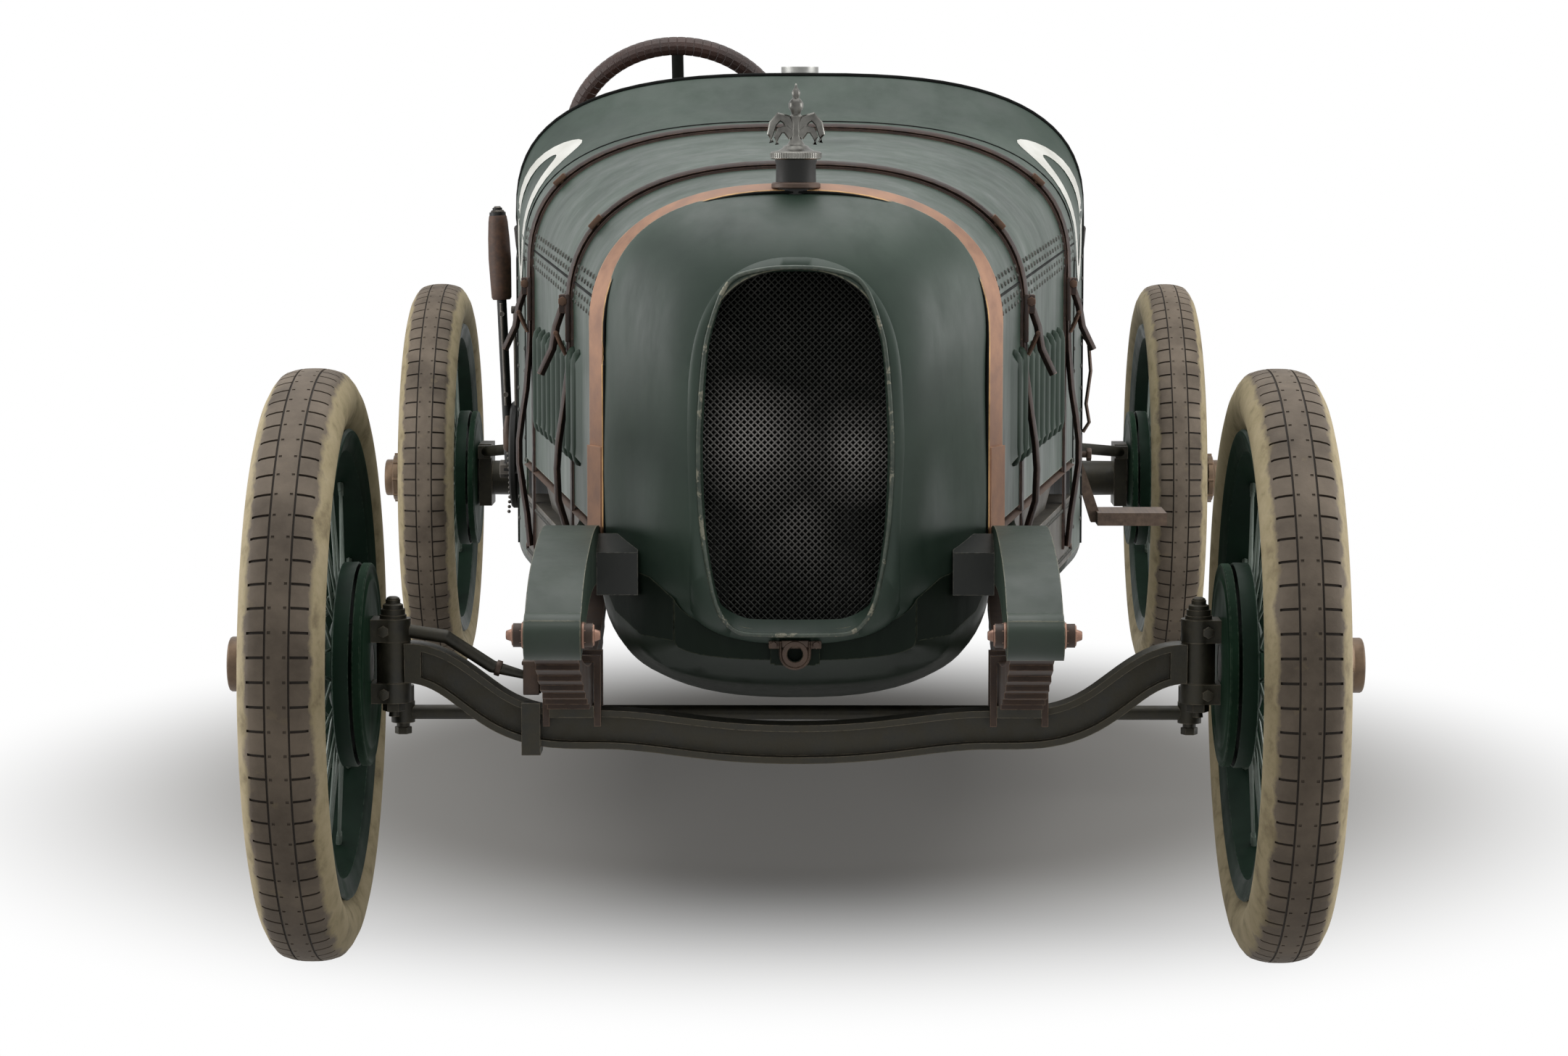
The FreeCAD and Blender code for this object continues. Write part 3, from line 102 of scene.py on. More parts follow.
def edge_mask(tree, radius, low, high, breakup):
    """1 on edges of the form, broken up by a noise, and 0 on the flats."""
    rounded = add(tree, "Bevel", samples=4, Radius=radius)
    plain = add(tree, "NewGeometry").outputs["Normal"]
    dot = add(tree, "VectorMath", [(0, rounded), (1, plain)], operation="DOT_PRODUCT")
    bend = add(tree, "Math", [(1, dot.outputs["Value"])], operation="SUBTRACT")
    bend.inputs[0].default_value = 1.0
    mixed = add(tree, "Math", [(0, bend), (1, breakup)], operation="MULTIPLY")
    return add(tree, "MapRange", [("Value", mixed)], From_Min=low, From_Max=high)


def worn_paint(name, dark, light, worn, roughness=0.38, patch_mm=180.0, wear=1.0, shine=0.4, bump=0.12,
               chipped=0.735):
    """Old sprayed enamel: two close shades, dulled streaks, and pale rubbed edges."""
    material, tree, shader, place = new_material(name)
    patches = add(tree, "TexNoise", [("Vector", place)], Scale=1000.0 / patch_mm, Detail=5.0, Roughness=0.6)
    shade = add(tree, "ValToRGB", [("Fac", patches)], stops=((0.32, dark), (0.68, light)))
    runs = add(tree, "Mapping", [("Vector", place)], Scale=(13.0, 13.0, 3.0))
    streaks = add(tree, "TexNoise", [("Vector", runs)], Scale=1.0, Detail=6.0, Roughness=0.65)
    grime = add(tree, "MapRange", [("Value", streaks)], From_Min=0.52, From_Max=0.78, To_Max=0.16)
    shade = add(tree, "MixRGB", [("Fac", grime), ("Color1", shade)], Color2=linear("#141410"))
    fine = add(tree, "TexNoise", [("Vector", place)], Scale=140.0, Detail=3.0)
    if wear:
        breakup = add(tree, "MapRange", [("Value", fine)], From_Min=0.35, From_Max=0.65,
                      To_Min=0.2, To_Max=1.6)
        edges = edge_mask(tree, 0.0035, 0.10 / wear, 0.34 / wear, breakup)
        chips = add(tree, "TexNoise", [("Vector", place)], Scale=32.0, Detail=8.0, Roughness=0.7)
        specks = add(tree, "MapRange", [("Value", chips)], From_Min=chipped, From_Max=chipped + 0.015,
                     To_Max=0.6)
        marks = add(tree, "Math", [(0, edges), (1, specks)], operation="MAXIMUM", use_clamp=True)
        shade = add(tree, "MixRGB", [("Fac", marks), ("Color1", shade)], Color2=linear(worn))
    dull = add(tree, "MapRange", [("Value", streaks)], From_Min=0.3, From_Max=0.75,
               To_Min=roughness - 0.08, To_Max=roughness + 0.16)
    ripple = add(tree, "Bump", [("Height", fine)], Strength=bump, Distance=0.0006)
    wire(tree, shader, [("Base Color", shade), ("Roughness", dull), ("Normal", ripple)],
         Specular_IOR_Level=shine)
    return material


def worn_metal(name, dark, light, rubbed, metallic=0.7, roughness=0.5, grain_mm=9.0, bump=0.35, wear=1.0):
    """Old bare or plated metal: oily mottling, a cast or rubbed grain, and brighter edges."""
    material, tree, shader, place = new_material(name)
    mottle = add(tree, "TexNoise", [("Vector", place)], Scale=26.0, Detail=8.0, Roughness=0.65)
    shade = add(tree, "ValToRGB", [("Fac", mottle)], stops=((0.33, dark), (0.66, light)))
    grain = add(tree, "TexNoise", [("Vector", place)], Scale=1000.0 / grain_mm, Detail=4.0, Roughness=0.6)
    breakup = add(tree, "MapRange", [("Value", grain)], From_Min=0.35, From_Max=0.65, To_Min=0.2, To_Max=1.5)
    edges = edge_mask(tree, 0.0025, 0.08 / wear, 0.4 / wear, breakup)
    shade = add(tree, "MixRGB", [("Fac", edges), ("Color1", shade)], Color2=linear(rubbed))
    dull = add(tree, "MapRange", [("Value", mottle)], From_Min=0.3, From_Max=0.7,
               To_Min=roughness - 0.1, To_Max=roughness + 0.15)
    pits = add(tree, "Bump", [("Height", grain)], Strength=bump, Distance=0.0008)
    wire(tree, shader, [("Base Color", shade), ("Roughness", dull), ("Normal", pits)], Metallic=metallic)
    return material


# Painted light on the mesh, soft grey patches that stand for reflections: place (x, z) in millimetres,
# radius, strength
PAINTED_LIGHT_PATCHES = ((-66.0, 782.0, 105.0, 1.0), (88.0, 765.0, 85.0, 0.85), (0.0, 655.0, 90.0, 0.45))
PAINTED_LIGHT_Y = -98.0


def wire_with_painted_light():
    """Dark wire with a faint random tone and soft grey patches of painted light, which stand for reflections.
    """
    material, tree, shader, place = new_material("Wire with painted light patches")
    cloud = add(tree, "TexNoise", [("Vector", place)], Scale=14.0, Detail=3.0, Roughness=0.5)
    total = add(tree, "MapRange", [("Value", cloud)], From_Min=0.3, From_Max=0.7, To_Min=-0.12, To_Max=0.12)
    # Each patch is painted light, brightest at its middle
    for x, z, radius, strength in PAINTED_LIGHT_PATCHES:
        reach = add(tree, "VectorMath", [(0, place)], operation="DISTANCE")
        reach.inputs[1].default_value = at(x, PAINTED_LIGHT_Y, z)
        light_patch = add(tree, "MapRange", [("Value", reach.outputs["Value"])], From_Min=radius * MM,
                    From_Max=radius * MM * 0.15, To_Max=strength)
        total = add(tree, "Math", [(0, total), (1, light_patch)], operation="ADD")
    shade = add(tree, "ValToRGB", [("Fac", total)],
                stops=((0.0, "#22231f"), (0.5, "#6f6d6a"), (1.0, "#a3a09d")))
    fine = add(tree, "TexNoise", [("Vector", place)], Scale=300.0, Detail=2.0)
    pits = add(tree, "Bump", [("Height", fine)], Strength=0.2, Distance=0.0005)
    wire(tree, shader, [("Base Color", shade), ("Normal", pits)], Metallic=0.3, Roughness=0.5)
    return material


def tyre_rubber():
    """Natural rubber sidewalls that have yellowed, with a grey-brown vulcanised tread and painted shade
    darkening its grooves.
    """
    material, tree, shader, place = new_material("Yellowed natural rubber")
    crown = add(tree, "Attribute", attribute_name="crown").outputs["Fac"]
    depth = add(tree, "Attribute", attribute_name="groove_shade").outputs["Fac"]
    stain = add(tree, "TexNoise", [("Vector", place)], Scale=22.0, Detail=7.0, Roughness=0.62)
    wander = add(tree, "MapRange", [("Value", stain)], From_Min=0.3, From_Max=0.7, To_Min=-0.35, To_Max=0.35)
    edge = add(tree, "Math", [(0, crown), (1, wander)], operation="ADD")
    tread_share = add(tree, "MapRange", [("Value", edge)], From_Min=0.42, From_Max=0.78)
    cream = add(tree, "ValToRGB", [("Fac", stain)],
                stops=((0.28, "#85775c"), (0.46, "#b5a683"), (0.75, "#cdbd9b")))
    dusty = add(tree, "TexNoise", [("Vector", place)], Scale=9.0, Detail=6.0, Roughness=0.6)
    tread = add(tree, "ValToRGB", [("Fac", dusty)], stops=((0.3, "#564c41"), (0.7, "#8a7d6e")))
    shade = add(tree, "MixRGB", [("Fac", tread_share), ("Color1", cream), ("Color2", tread)])
    # Painted shade: the grooves are darkened to near black
    shade = add(tree, "MixRGB", [("Fac", depth), ("Color1", shade)], Color2=linear("#231d18"))
    skin = add(tree, "TexNoise", [("Vector", place)], Scale=320.0, Detail=3.0)
    rough = add(tree, "Bump", [("Height", skin)], Strength=0.25, Distance=0.0008)
    wire(tree, shader, [("Base Color", shade), ("Normal", rough)], Roughness=0.78)
    return material


def oiled_wood(name, dark, light):
    """Oiled boards: long grain along y."""
    material, tree, shader, place = new_material(name)
    stretch = add(tree, "Mapping", [("Vector", place)], Scale=(90.0, 4.0, 90.0))
    grain = add(tree, "TexNoise", [("Vector", stretch)], Scale=1.0, Detail=6.0, Roughness=0.6)
    shade = add(tree, "ValToRGB", [("Fac", grain)], stops=((0.3, dark), (0.7, light)))
    pores = add(tree, "Bump", [("Height", grain)], Strength=0.3, Distance=0.001)
    wire(tree, shader, [("Base Color", shade), ("Normal", pores)], Roughness=0.6)
    return material


def worn_leather(name, dark, light):
    """Pull-up leather: pebbled grain of about 2 mm and paler creases."""
    material, tree, shader, place = new_material(name)
    pebble = add(tree, "TexVoronoi", [("Vector", place)], Scale=450.0).outputs["Distance"]
    folds = add(tree, "TexNoise", [("Vector", place)], Scale=14.0, Detail=8.0, Roughness=0.65)
    shade = add(tree, "ValToRGB", [("Fac", folds)], stops=((0.3, dark), (0.7, light)))
    height = add(tree, "Math", [(0, pebble), (1, folds)], operation="ADD")
    bump = add(tree, "Bump", [("Height", height)], Strength=0.4, Distance=0.001)
    wire(tree, shader, [("Base Color", shade), ("Normal", bump)], Roughness=0.48)
    return material


BODY_PAINT = worn_paint("Body enamel", "#23332a", "#34453a", "#a3a28c", 0.44)
# The body's green made darker: painted shade for the belly pan under the car
SHADED_UNDERSIDE_PAINT = worn_paint("Underside enamel with painted shade", "#19231b", "#232d24", "#6f7262", 0.42, 120.0, 0.8)
FRAME_PAINT = worn_paint("Frame enamel", "#223027", "#303d32", "#8f8c78", 0.42, 120.0, 1.6)
WHEEL_PAINT = worn_paint("Wheel enamel", "#0c1f15", "#152c1f", "#5f7263", 0.5, 90.0, 0.8, 0.12)
SHIELD_PAINT = worn_paint("Dust shield enamel", "#14281c", "#213a2a", "#7d8c7c", 0.55, 70.0, 1.0, 0.08)
# Pale grey-green, far lighter than the wheels' dark green: painted highlight along the spokes
SPOKE_PAINT_WITH_HIGHLIGHT = worn_paint("Spoke enamel with painted highlight", "#66746a", "#8b978d", "#9aa39a", 0.30, 60.0, 0.0, 0.6)
# The body's green made darker: painted shade on the louvres' front faces
SHADED_LOUVRE_PAINT = worn_paint("Louvre enamel with painted shade", "#1b2b21", "#28382d", "#a3a28c", 0.5, 90.0, 1.6, 0.15)
# The body's green made darker: painted shade under the nose, for the chin sheets and the crank's socket
SHADED_CHIN_PAINT = worn_paint("Chin enamel with painted shade", "#111a14", "#1a241c", "#5c6050", 0.55, 90.0, 0.8, 0.12)
RIM_PAINT = worn_paint("Rolled rim enamel", "#303d33", "#59655a", "#c4bfa9", 0.36, 40.0, 2.4, 0.5, 0.2, 0.57)
SURROUND_PAINT = worn_paint("Nose enamel", "#23332a", "#34453a", "#a3a28c", 0.44, 180.0, 0.0)
BRACKET_PAINT = worn_paint("Bracket enamel", "#131613", "#1f221e", "#77756b", 0.45, 60.0, 1.2)
# Dark for the joints, and painted shade for the sheet behind the grille's wire
JOINT_AND_SHADE_PAINT = worn_paint("Shadowed joint", "#070807", "#0c0e0c", "#20201e", 0.7, 60.0, 0.0, 0.1)
NUMERAL_PAINT = worn_paint("Numeral paint", "#d6d6ce", "#ebebe5", "#8a8d80", 0.5, 60.0, 0.0)
SKIRT_PAINT = worn_paint("Skirt enamel", "#37342d", "#48433a", "#857c6c", 0.55, 80.0, 1.4)
STRAP_STEEL = worn_metal("Browned steel", "#241a17", "#3c2d27", "#8a6a5a", 0.3, 0.5, 14.0, 0.3, 1.4)
SPRING_STEEL = worn_metal("Rusty spring leaves", "#2e231d", "#4a3a30", "#8d7562", 0.3, 0.55, 10.0, 0.5, 1.6)
AXLE_STEEL = worn_metal("Oily forging", "#23221b", "#403c30", "#857b69", 0.35, 0.5, 10.0, 0.6, 1.4)
CUP_BROWN = worn_metal("Stained cup", "#3d312a", "#5f4d42", "#7f6d5d", 0.4, 0.5, 10.0, 0.4, 1.0)
COPPER = worn_metal("Dull copper", "#86604a", "#a67f66", "#d2a887", 0.5, 0.45, 30.0, 0.12)
BRIGHT_COPPER = worn_metal("Rubbed bead", "#a07a50", "#c79f6c", "#e0bf8f", 0.8, 0.35, 30.0, 0.1)
NUT_COPPER = worn_metal("Rubbed copper", "#44332b", "#69503f", "#97705a", 0.5, 0.45, 16.0, 0.3, 1.2)
CAP_BRASS = worn_metal("Dull hub cap", "#544436", "#7c6752", "#a98c70", 0.6, 0.42, 16.0, 0.3, 1.2)
RIVET_METAL = worn_metal("Rivet heads", "#262622", "#42423c", "#8b8880", 0.5, 0.42, 12.0, 0.2, 1.0)
HORN_COPPER = worn_metal("Copper nuts", "#7a5e51", "#ab8572", "#d0a994", 0.6, 0.42, 16.0, 0.2, 1.2)
BARE_STEEL = worn_metal("Dull steel", "#3a3733", "#5b5650", "#9b968d", 0.8, 0.42, 20.0, 0.2)
NICKEL = worn_metal("Worn nickel", "#4c4b48", "#7d7c77", "#b5b3ac", 0.9, 0.34, 25.0, 0.2)
BLACK_IRON = worn_metal("Black iron", "#131312", "#20201e", "#4a4742", 0.4, 0.5, 12.0, 0.35)
CORE_METAL = worn_metal("Radiator core", "#0c0c0c", "#353533", "#4b4a48", 0.6, 0.45, 7.0, 0.8)
SHEET_ALUMINIUM = worn_metal("Dull aluminium", "#8b8b88", "#a9a9a5", "#c5c5c0", 0.9, 0.45, 30.0, 0.15)
MESH_WIRE = wire_with_painted_light()
RUBBER = tyre_rubber()
BOARDS = oiled_wood("Oiled boards", "#4a3526", "#71543c")
LEDGE_WOOD = oiled_wood("Varnished ledge", "#3b2a20", "#5c4332")
STEP_WOOD = oiled_wood("Worn step", "#52433a", "#7a6656")
GRIP_WOOD = oiled_wood("Turned grip", "#34231a", "#573c2b")
RIM_BINDING = worn_leather("Rim binding", "#241814", "#452d25")
LEATHER = worn_leather("Brown leather", "#3a241a", "#5a3b2b")
EDGE_ROLL = worn_leather("Edge roll", "#1d1714", "#2f2622")


# Shaping
def turn_about(axis, degrees):
    return Matrix.Rotation(math.radians(degrees), 4, axis)


def facing(direction, up=Z):
    """A turn that takes +z to the direction, with +x square to up."""
    along = direction.normalized()
    side = up.cross(along)
    if side.length < 1e-4:
        side = X.cross(along)
    side.normalize()
    return Matrix((side, along.cross(side), along)).transposed().to_4x4()


def cylinder(bm, start, end, radius, end_radius=None, sides=16, bevel=0.0):
    """A bar between two points in metres; the radii are millimetres."""
    run = end - start
    if end_radius is None:
        end_radius = radius
    made = bmesh.ops.create_cone(bm, cap_ends=True, segments=sides, radius1=radius * MM,
                                 radius2=end_radius * MM, depth=run.length,
                                 matrix=Matrix.Translation((start + end) / 2) @ facing(run))
    if bevel:
        rims = {e for v in made["verts"] for e in v.link_edges if len(e.link_faces) == 2
                and min(len(f.verts) for f in e.link_faces) < max(len(f.verts) for f in e.link_faces)}
        round_off(bm, list(rims), bevel)


def round_off(bm, edges, width):
    bmesh.ops.bevel(bm, geom=edges, offset=width * MM, segments=2, profile=0.5, affect="EDGES", material=-1)


def block(bm, low, high, bevel=0.0):
    """A box between two corners in metres, with rounded edges."""
    matrix = Matrix.Translation((low + high) / 2) @ Matrix.Diagonal((high - low).to_4d())
    made = bmesh.ops.create_cube(bm, size=1.0, matrix=matrix)
    if bevel:
        round_off(bm, list({e for v in made["verts"] for e in v.link_edges}), bevel)


def bead(bm, centre, radius, sides):
    """A small ball, such as a link of a chain."""
    bmesh.ops.create_uvsphere(bm, u_segments=sides, v_segments=sides // 2, radius=radius * MM,
                              matrix=Matrix.Translation(centre))


def chain(bm, points, closed=False):
    """Vertices at the points, joined by edges."""
    verts = [bm.verts.new(p) for p in points]
    edges = [bm.edges.new(pair) for pair in zip(verts, verts[1:])]
    if closed:
        edges.append(bm.edges.new((verts[-1], verts[0])))
    return verts, edges


def new_verts(made):
    """The vertices that an operator gives back."""
    return [g for g in made["geom"] if isinstance(g, bmesh.types.BMVert)]


def drawn_out(bm, edges):
    """Extrudes a line of edges, and gives the new edges and vertices, which are still in place."""
    made = bmesh.ops.extrude_edge_only(bm, edges=edges)
    verts = new_verts(made)
    fresh = set(verts)
    return [g for g in made["geom"] if isinstance(g, bmesh.types.BMEdge) and fresh.issuperset(g.verts)], verts


def turned(bm, outline, centre, axis, steps=48):
    """A lathe-turned form: outline is (along, radius) in mm, turned about the axis through centre."""
    verts, edges = chain(bm, [Vector((r * MM, 0, a * MM)) for a, r in outline], closed=True)
    made = bmesh.ops.spin(bm, geom=verts + edges, cent=ORIGIN, axis=Z, dvec=ORIGIN, angle=2 * math.pi,
                          steps=steps, use_merge=True, use_normal_flip=False, use_duplicate=False)
    ring = set(verts) | {v for v in made["geom_last"] if isinstance(v, bmesh.types.BMVert)}
    loop = set(ring)
    while ring:
        ring = {e.other_vert(v) for v in ring for e in v.link_edges} - loop
        loop |= ring
    bmesh.ops.transform(bm, matrix=Matrix.Translation(centre) @ facing(axis), verts=list(loop))


def sweep(bm, path, radius, sides=8, closed=False, flat=1.0, up=Z, end_radius=None):
    """A bar pushed along a path of points; flat squeezes its section square to up."""
    count = len(path)
    places = []
    for i, point in enumerate(path):
        before = path[i - 1] if i or closed else point
        after = path[(i + 1) % count] if i + 1 < count or closed else point
        size = radius if end_radius is None else radius + (end_radius - radius) * i / (count - 1)
        scale = Matrix.Diagonal((size * MM, size * MM * flat, 1.0, 1.0))
        places.append(Matrix.Translation(point) @ facing(after - before, up) @ scale)
    first = bmesh.ops.create_circle(bm, segments=sides, radius=1.0, matrix=places[0])["verts"]
    edges = list({e for v in first for e in v.link_edges})
    start_edges = list(edges)
    for previous, place in zip(places, places[1:]):
        edges, verts = drawn_out(bm, edges)
        bmesh.ops.transform(bm, matrix=place @ previous.inverted(), verts=verts)
    if closed:
        bmesh.ops.bridge_loops(bm, edges=start_edges + edges)
    else:
        bmesh.ops.edgeloop_fill(bm, edges=start_edges)
        bmesh.ops.edgeloop_fill(bm, edges=edges)


def loft(bm, loops):
    """A skin drawn out from the first closed loop of points through the others."""
    verts, edges = chain(bm, loops[0], closed=True)
    for loop in loops[1:]:
        fresh = set(drawn_out(bm, edges)[1])
        verts = [next(e.other_vert(v) for e in v.link_edges if e.other_vert(v) in fresh) for v in verts]
        edges = [bm.edges.get(pair) for pair in zip(verts, verts[1:] + verts[:1])]
        for vert, point in zip(verts, loop):
            vert.co = point


def strip(bm, first, second):
    """A sheet between two lines of points."""
    bmesh.ops.bridge_loops(bm, edges=chain(bm, first)[1] + chain(bm, second)[1])


def whole_turn(bm, axis, steps):
    """Repeats one pitch of a ring round the origin, and joins the copies."""
    bmesh.ops.spin(bm, geom=bm.verts[:] + bm.edges[:] + bm.faces[:], cent=ORIGIN, axis=axis, dvec=ORIGIN,
                   angle=2 * math.pi, steps=steps, use_merge=False, use_normal_flip=False, use_duplicate=True)
    bmesh.ops.remove_doubles(bm, verts=bm.verts, dist=MERGE)


def stamp(bm, template, places):
    """Copies a small form to each place."""
    mesh = bpy.data.meshes.new("stamp")
    template.to_mesh(mesh)
    template.free()
    for place in places:
        copy = mesh.copy()
        copy.transform(place)
        bm.from_mesh(copy)
        bpy.data.meshes.remove(copy)
    bpy.data.meshes.remove(mesh)


def mirror_over(bm):
    """Adds the same form on the car's other side."""
    made = bmesh.ops.duplicate(bm, geom=bm.verts[:] + bm.edges[:] + bm.faces[:])
    bmesh.ops.transform(bm, matrix=Matrix.Diagonal((-1, 1, 1, 1)), verts=new_verts(made))


def finished(name, bm, material, body="chassis", sharp=32.0, stands_for=()):
    """Turns a bmesh into a piece of the car that rides on its body."""
    bmesh.ops.recalc_face_normals(bm, faces=bm.faces)
    limit = math.radians(sharp)
    for face in bm.faces:
        face.smooth = True
    for edge in bm.edges:
        if len(edge.link_faces) == 2:
            edge.smooth = edge.calc_face_angle() < limit
    mesh = bpy.data.meshes.new(name)
    bm.to_mesh(mesh)
    bm.free()
    mesh.materials.append(material)
    piece = bpy.data.objects.new(name, mesh)
    bpy.context.scene.collection.objects.link(piece)
    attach(piece, body)
    if stands_for:
        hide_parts(*stands_for)
    return piece


# CAD nodes: their material and a smooth shade between sharp edges
def smooth_group():
    """Joins the loose triangles and shades them smooth up to a sharp edge."""
    group = bpy.data.node_groups.new("Smooth shade", "GeometryNodeTree")
    group.interface.new_socket("Geometry", in_out="INPUT", socket_type="NodeSocketGeometry")
    group.interface.new_socket("Geometry", in_out="OUTPUT", socket_type="NodeSocketGeometry")
    nodes, links = group.nodes, group.links
    come, leave = nodes.new("NodeGroupInput"), nodes.new("NodeGroupOutput")
    merge = nodes.new("GeometryNodeMergeByDistance")
    merge.inputs["Distance"].default_value = 0.00001
    angle = nodes.new("GeometryNodeInputMeshEdgeAngle")
    sharp = nodes.new("FunctionNodeCompare")
    sharp.operation = "GREATER_THAN"
    sharp.inputs[1].default_value = math.radians(28)
    faces = nodes.new("GeometryNodeSetShadeSmooth")
    faces.domain = "FACE"
    edges = nodes.new("GeometryNodeSetShadeSmooth")
    edges.domain = "EDGE"
    edges.inputs["Shade Smooth"].default_value = False
    links.new(come.outputs[0], merge.inputs["Geometry"])
    links.new(merge.outputs[0], faces.inputs["Geometry"])
    links.new(faces.outputs[0], edges.inputs["Geometry"])
    links.new(angle.outputs["Unsigned Angle"], sharp.inputs[0])
    links.new(sharp.outputs[0], edges.inputs["Selection"])
    links.new(edges.outputs[0], leave.inputs[0])
    return group


NODE_FINISH = {
    BODY_PAINT: ("nose_shell", "cowl", "cockpit_sides", "tail", "bonnet_top", "bonnet_sides", "seat_shells"),
    FRAME_PAINT: ("side_rails", "cross_members"),
    BRACKET_PAINT: ("nose_brackets",),
    SKIRT_PAINT: ("side_skirts",),
    SHADED_UNDERSIDE_PAINT: ("belly_pan",),
    CORE_METAL: ("radiator_core",),
    MESH_WIRE: ("grille_mesh",),
    COPPER: ("copper_band",),
    NICKEL: ("filler_cap",),
    BLACK_IRON: ("engine_block", "brake_lever"),
    SHADED_CHIN_PAINT: ("crank_socket",),
    SHEET_ALUMINIUM: ("bulkhead", "scuttle_tank"),
    BOARDS: ("cockpit_floor",),
    LEATHER: ("seat_cushions",),
    BARE_STEEL: ("steering_column",),
    STRAP_STEEL: ("bonnet_straps", "strap_tails", "strap_toggles"),
    STEP_WOOD: ("foot_step",),
    SPRING_STEEL: ("front_springs", "rear_springs"),
    AXLE_STEEL: ("front_axle", "rear_axle", "radius_rods", "knuckle_left", "knuckle_right", "tie_rod",
                 "drag_link", "drop_arm"),
    RIM_BINDING: ("steering_wheel",),
    WHEEL_PAINT: tuple("wheel_" + name for name in WHEEL_CENTRES),
    RUBBER: tuple("tyre_" + name for name in WHEEL_CENTRES),
}


def finish_cad_nodes():
    group = smooth_group()
    for material, names in NODE_FINISH.items():
        for name in names:
            node = NODES[name]
            node.data.materials.clear()
            node.data.materials.append(material)
            shade = node.modifiers.new("Smooth shade", "NODES")
            shade.node_group = group


# Tyres
TREAD_PITCHES = 80
TREAD_RADIUS = 440.0
CROWN_DROP = 6.4
BLOCK_EDGE = 38.5
RIB_GROOVE = 2.6
SHOULDER = ((38.5, 433.6), (43.0, 430.5), (50.0, 422.0), (57.5, 408.0), (61.0, 394.0), (60.0, 381.0),
            (56.0, 369.0), (50.0, 358.5), (44.0, 351.5), (42.6, 340.0), (42.6, 323.3))
GROOVE_DEGREES = 0.52
DIRT_REACH = 26.0
CREAM_BELOW = 394
# The cuts across the tread: from and to in x, depth, and how much painted shade darkens the cut's floor
CROSS_CUTS = ((18.2, 43.5, 3.4, 0.9), (8.4, 13.1, 1.3, 0.45))


def tread_radius(x):
    """The crown of the tread."""
    return TREAD_RADIUS - CROWN_DROP * (abs(x) / BLOCK_EDGE) ** 2.4


def tyre_section():
    """Half the section, from the middle of the tread to the bead."""
    section = [(x, tread_radius(x)) for x in (0.0, 8.5, 13.0, 15.2)]
    section += [(15.6, tread_radius(16) - RIB_GROOVE), (17.9, tread_radius(17) - RIB_GROOVE)]
    section += [(x, tread_radius(x)) for x in (18.3, 28.0)]
    return section + list(SHOULDER)


def tyre_segment():
    """One pitch of the tread with its grooves, at the top of a wheel at the origin, each groove keeping its
    painted shade.
    """
    bm = bmesh.new()
    crown = bm.verts.layers.float.new("crown")
    groove_shade = bm.verts.layers.float.new("groove_shade")
    half = tyre_section()
    section = [(-x, r) for x, r in reversed(half[1:])] + half
    pitch = 360.0 / TREAD_PITCHES
    verts, edges = chain(bm, [(x * MM, 0, r * MM) for x, r in section], closed=True)
    for vert, (x, r) in zip(verts, section):
        outside = 0.0
        if abs(x) > BLOCK_EDGE:
            outside = math.hypot(abs(x) - BLOCK_EDGE, TREAD_RADIUS - CROWN_DROP - r)
        vert[crown] = max(0.0, 1.0 - outside / DIRT_REACH) if r > CREAM_BELOW else 0.0
        # Painted shade in the ribs' grooves
        vert[groove_shade] = 0.9 if 15.4 < abs(x) < 18.0 else 0.0
    bmesh.ops.rotate(bm, cent=ORIGIN, matrix=turn_about(X, -pitch / 2), verts=verts)
    half_block = (pitch - GROOVE_DEGREES) / 2
    for degrees in (half_block, GROOVE_DEGREES, half_block):
        edges, verts = drawn_out(bm, edges)
        bmesh.ops.rotate(bm, cent=ORIGIN, matrix=turn_about(X, degrees), verts=verts)
    for low, high, depth, dirt in CROSS_CUTS:
        for side in SIDES:
            cut = []
            for face in bm.faces:
                middle = face.calc_center_median()
                if abs(middle.y) < 0.0005 and middle.z > 0.42 and low < side * middle.x / MM < high:
                    cut.append(face)
            floor = new_verts(bmesh.ops.extrude_face_region(bm, geom=cut))
            bmesh.ops.delete(bm, geom=cut, context="FACES_ONLY")
            for vert in floor:
                vert.co.z -= depth * MM
                vert[groove_shade] = dirt
    return bm


def tyre_form():
    bm = tyre_segment()
    whole_turn(bm, X, TREAD_PITCHES)
    return bm


# Wire wheels, drawn at the origin with +x outboard.
# Rows of spokes: radius and x at the hub, x at the rim, count, first angle, lean in degrees
SPOKE_ROWS = ((67.0, -36.0, -15.0, 24, 0.0, 22.0), (46.0, 86.0, 12.0, 20, 4.0, 20.0),
              (46.0, 80.0, 22.0, 20, 13.0, -20.0))
SPOKE_RADIUS = 2.6
NIPPLE_LENGTH = 0.018
WELL = 318.0


def outboard(centre):
    """Takes a form drawn with +x outboard to its wheel."""
    side = 1 if centre.x > 0 else -1
    return Matrix.Translation(centre) @ Matrix.Diagonal((side, 1, 1, 1))


def rim_form():
    bm = bmesh.new()
    outline = [(-43.0, 323.0), (-43.0, 344.0), (-44.5, 349.0), (-49.0, 350.5), (-53.0, 347.5), (-53.5, 342.0),
               (-50.0, 336.0), (-48.5, 326.0), (-44.0, WELL), (-20.0, WELL - 2), (20.0, WELL - 2),
               (44.0, WELL), (48.5, 326.0), (50.0, 336.0), (53.5, 342.0), (53.0, 347.5), (49.0, 350.5),
               (44.5, 349.0), (43.0, 344.0), (43.0, 323.0)]
    turned(bm, outline, ORIGIN, X, 96)
    return bm


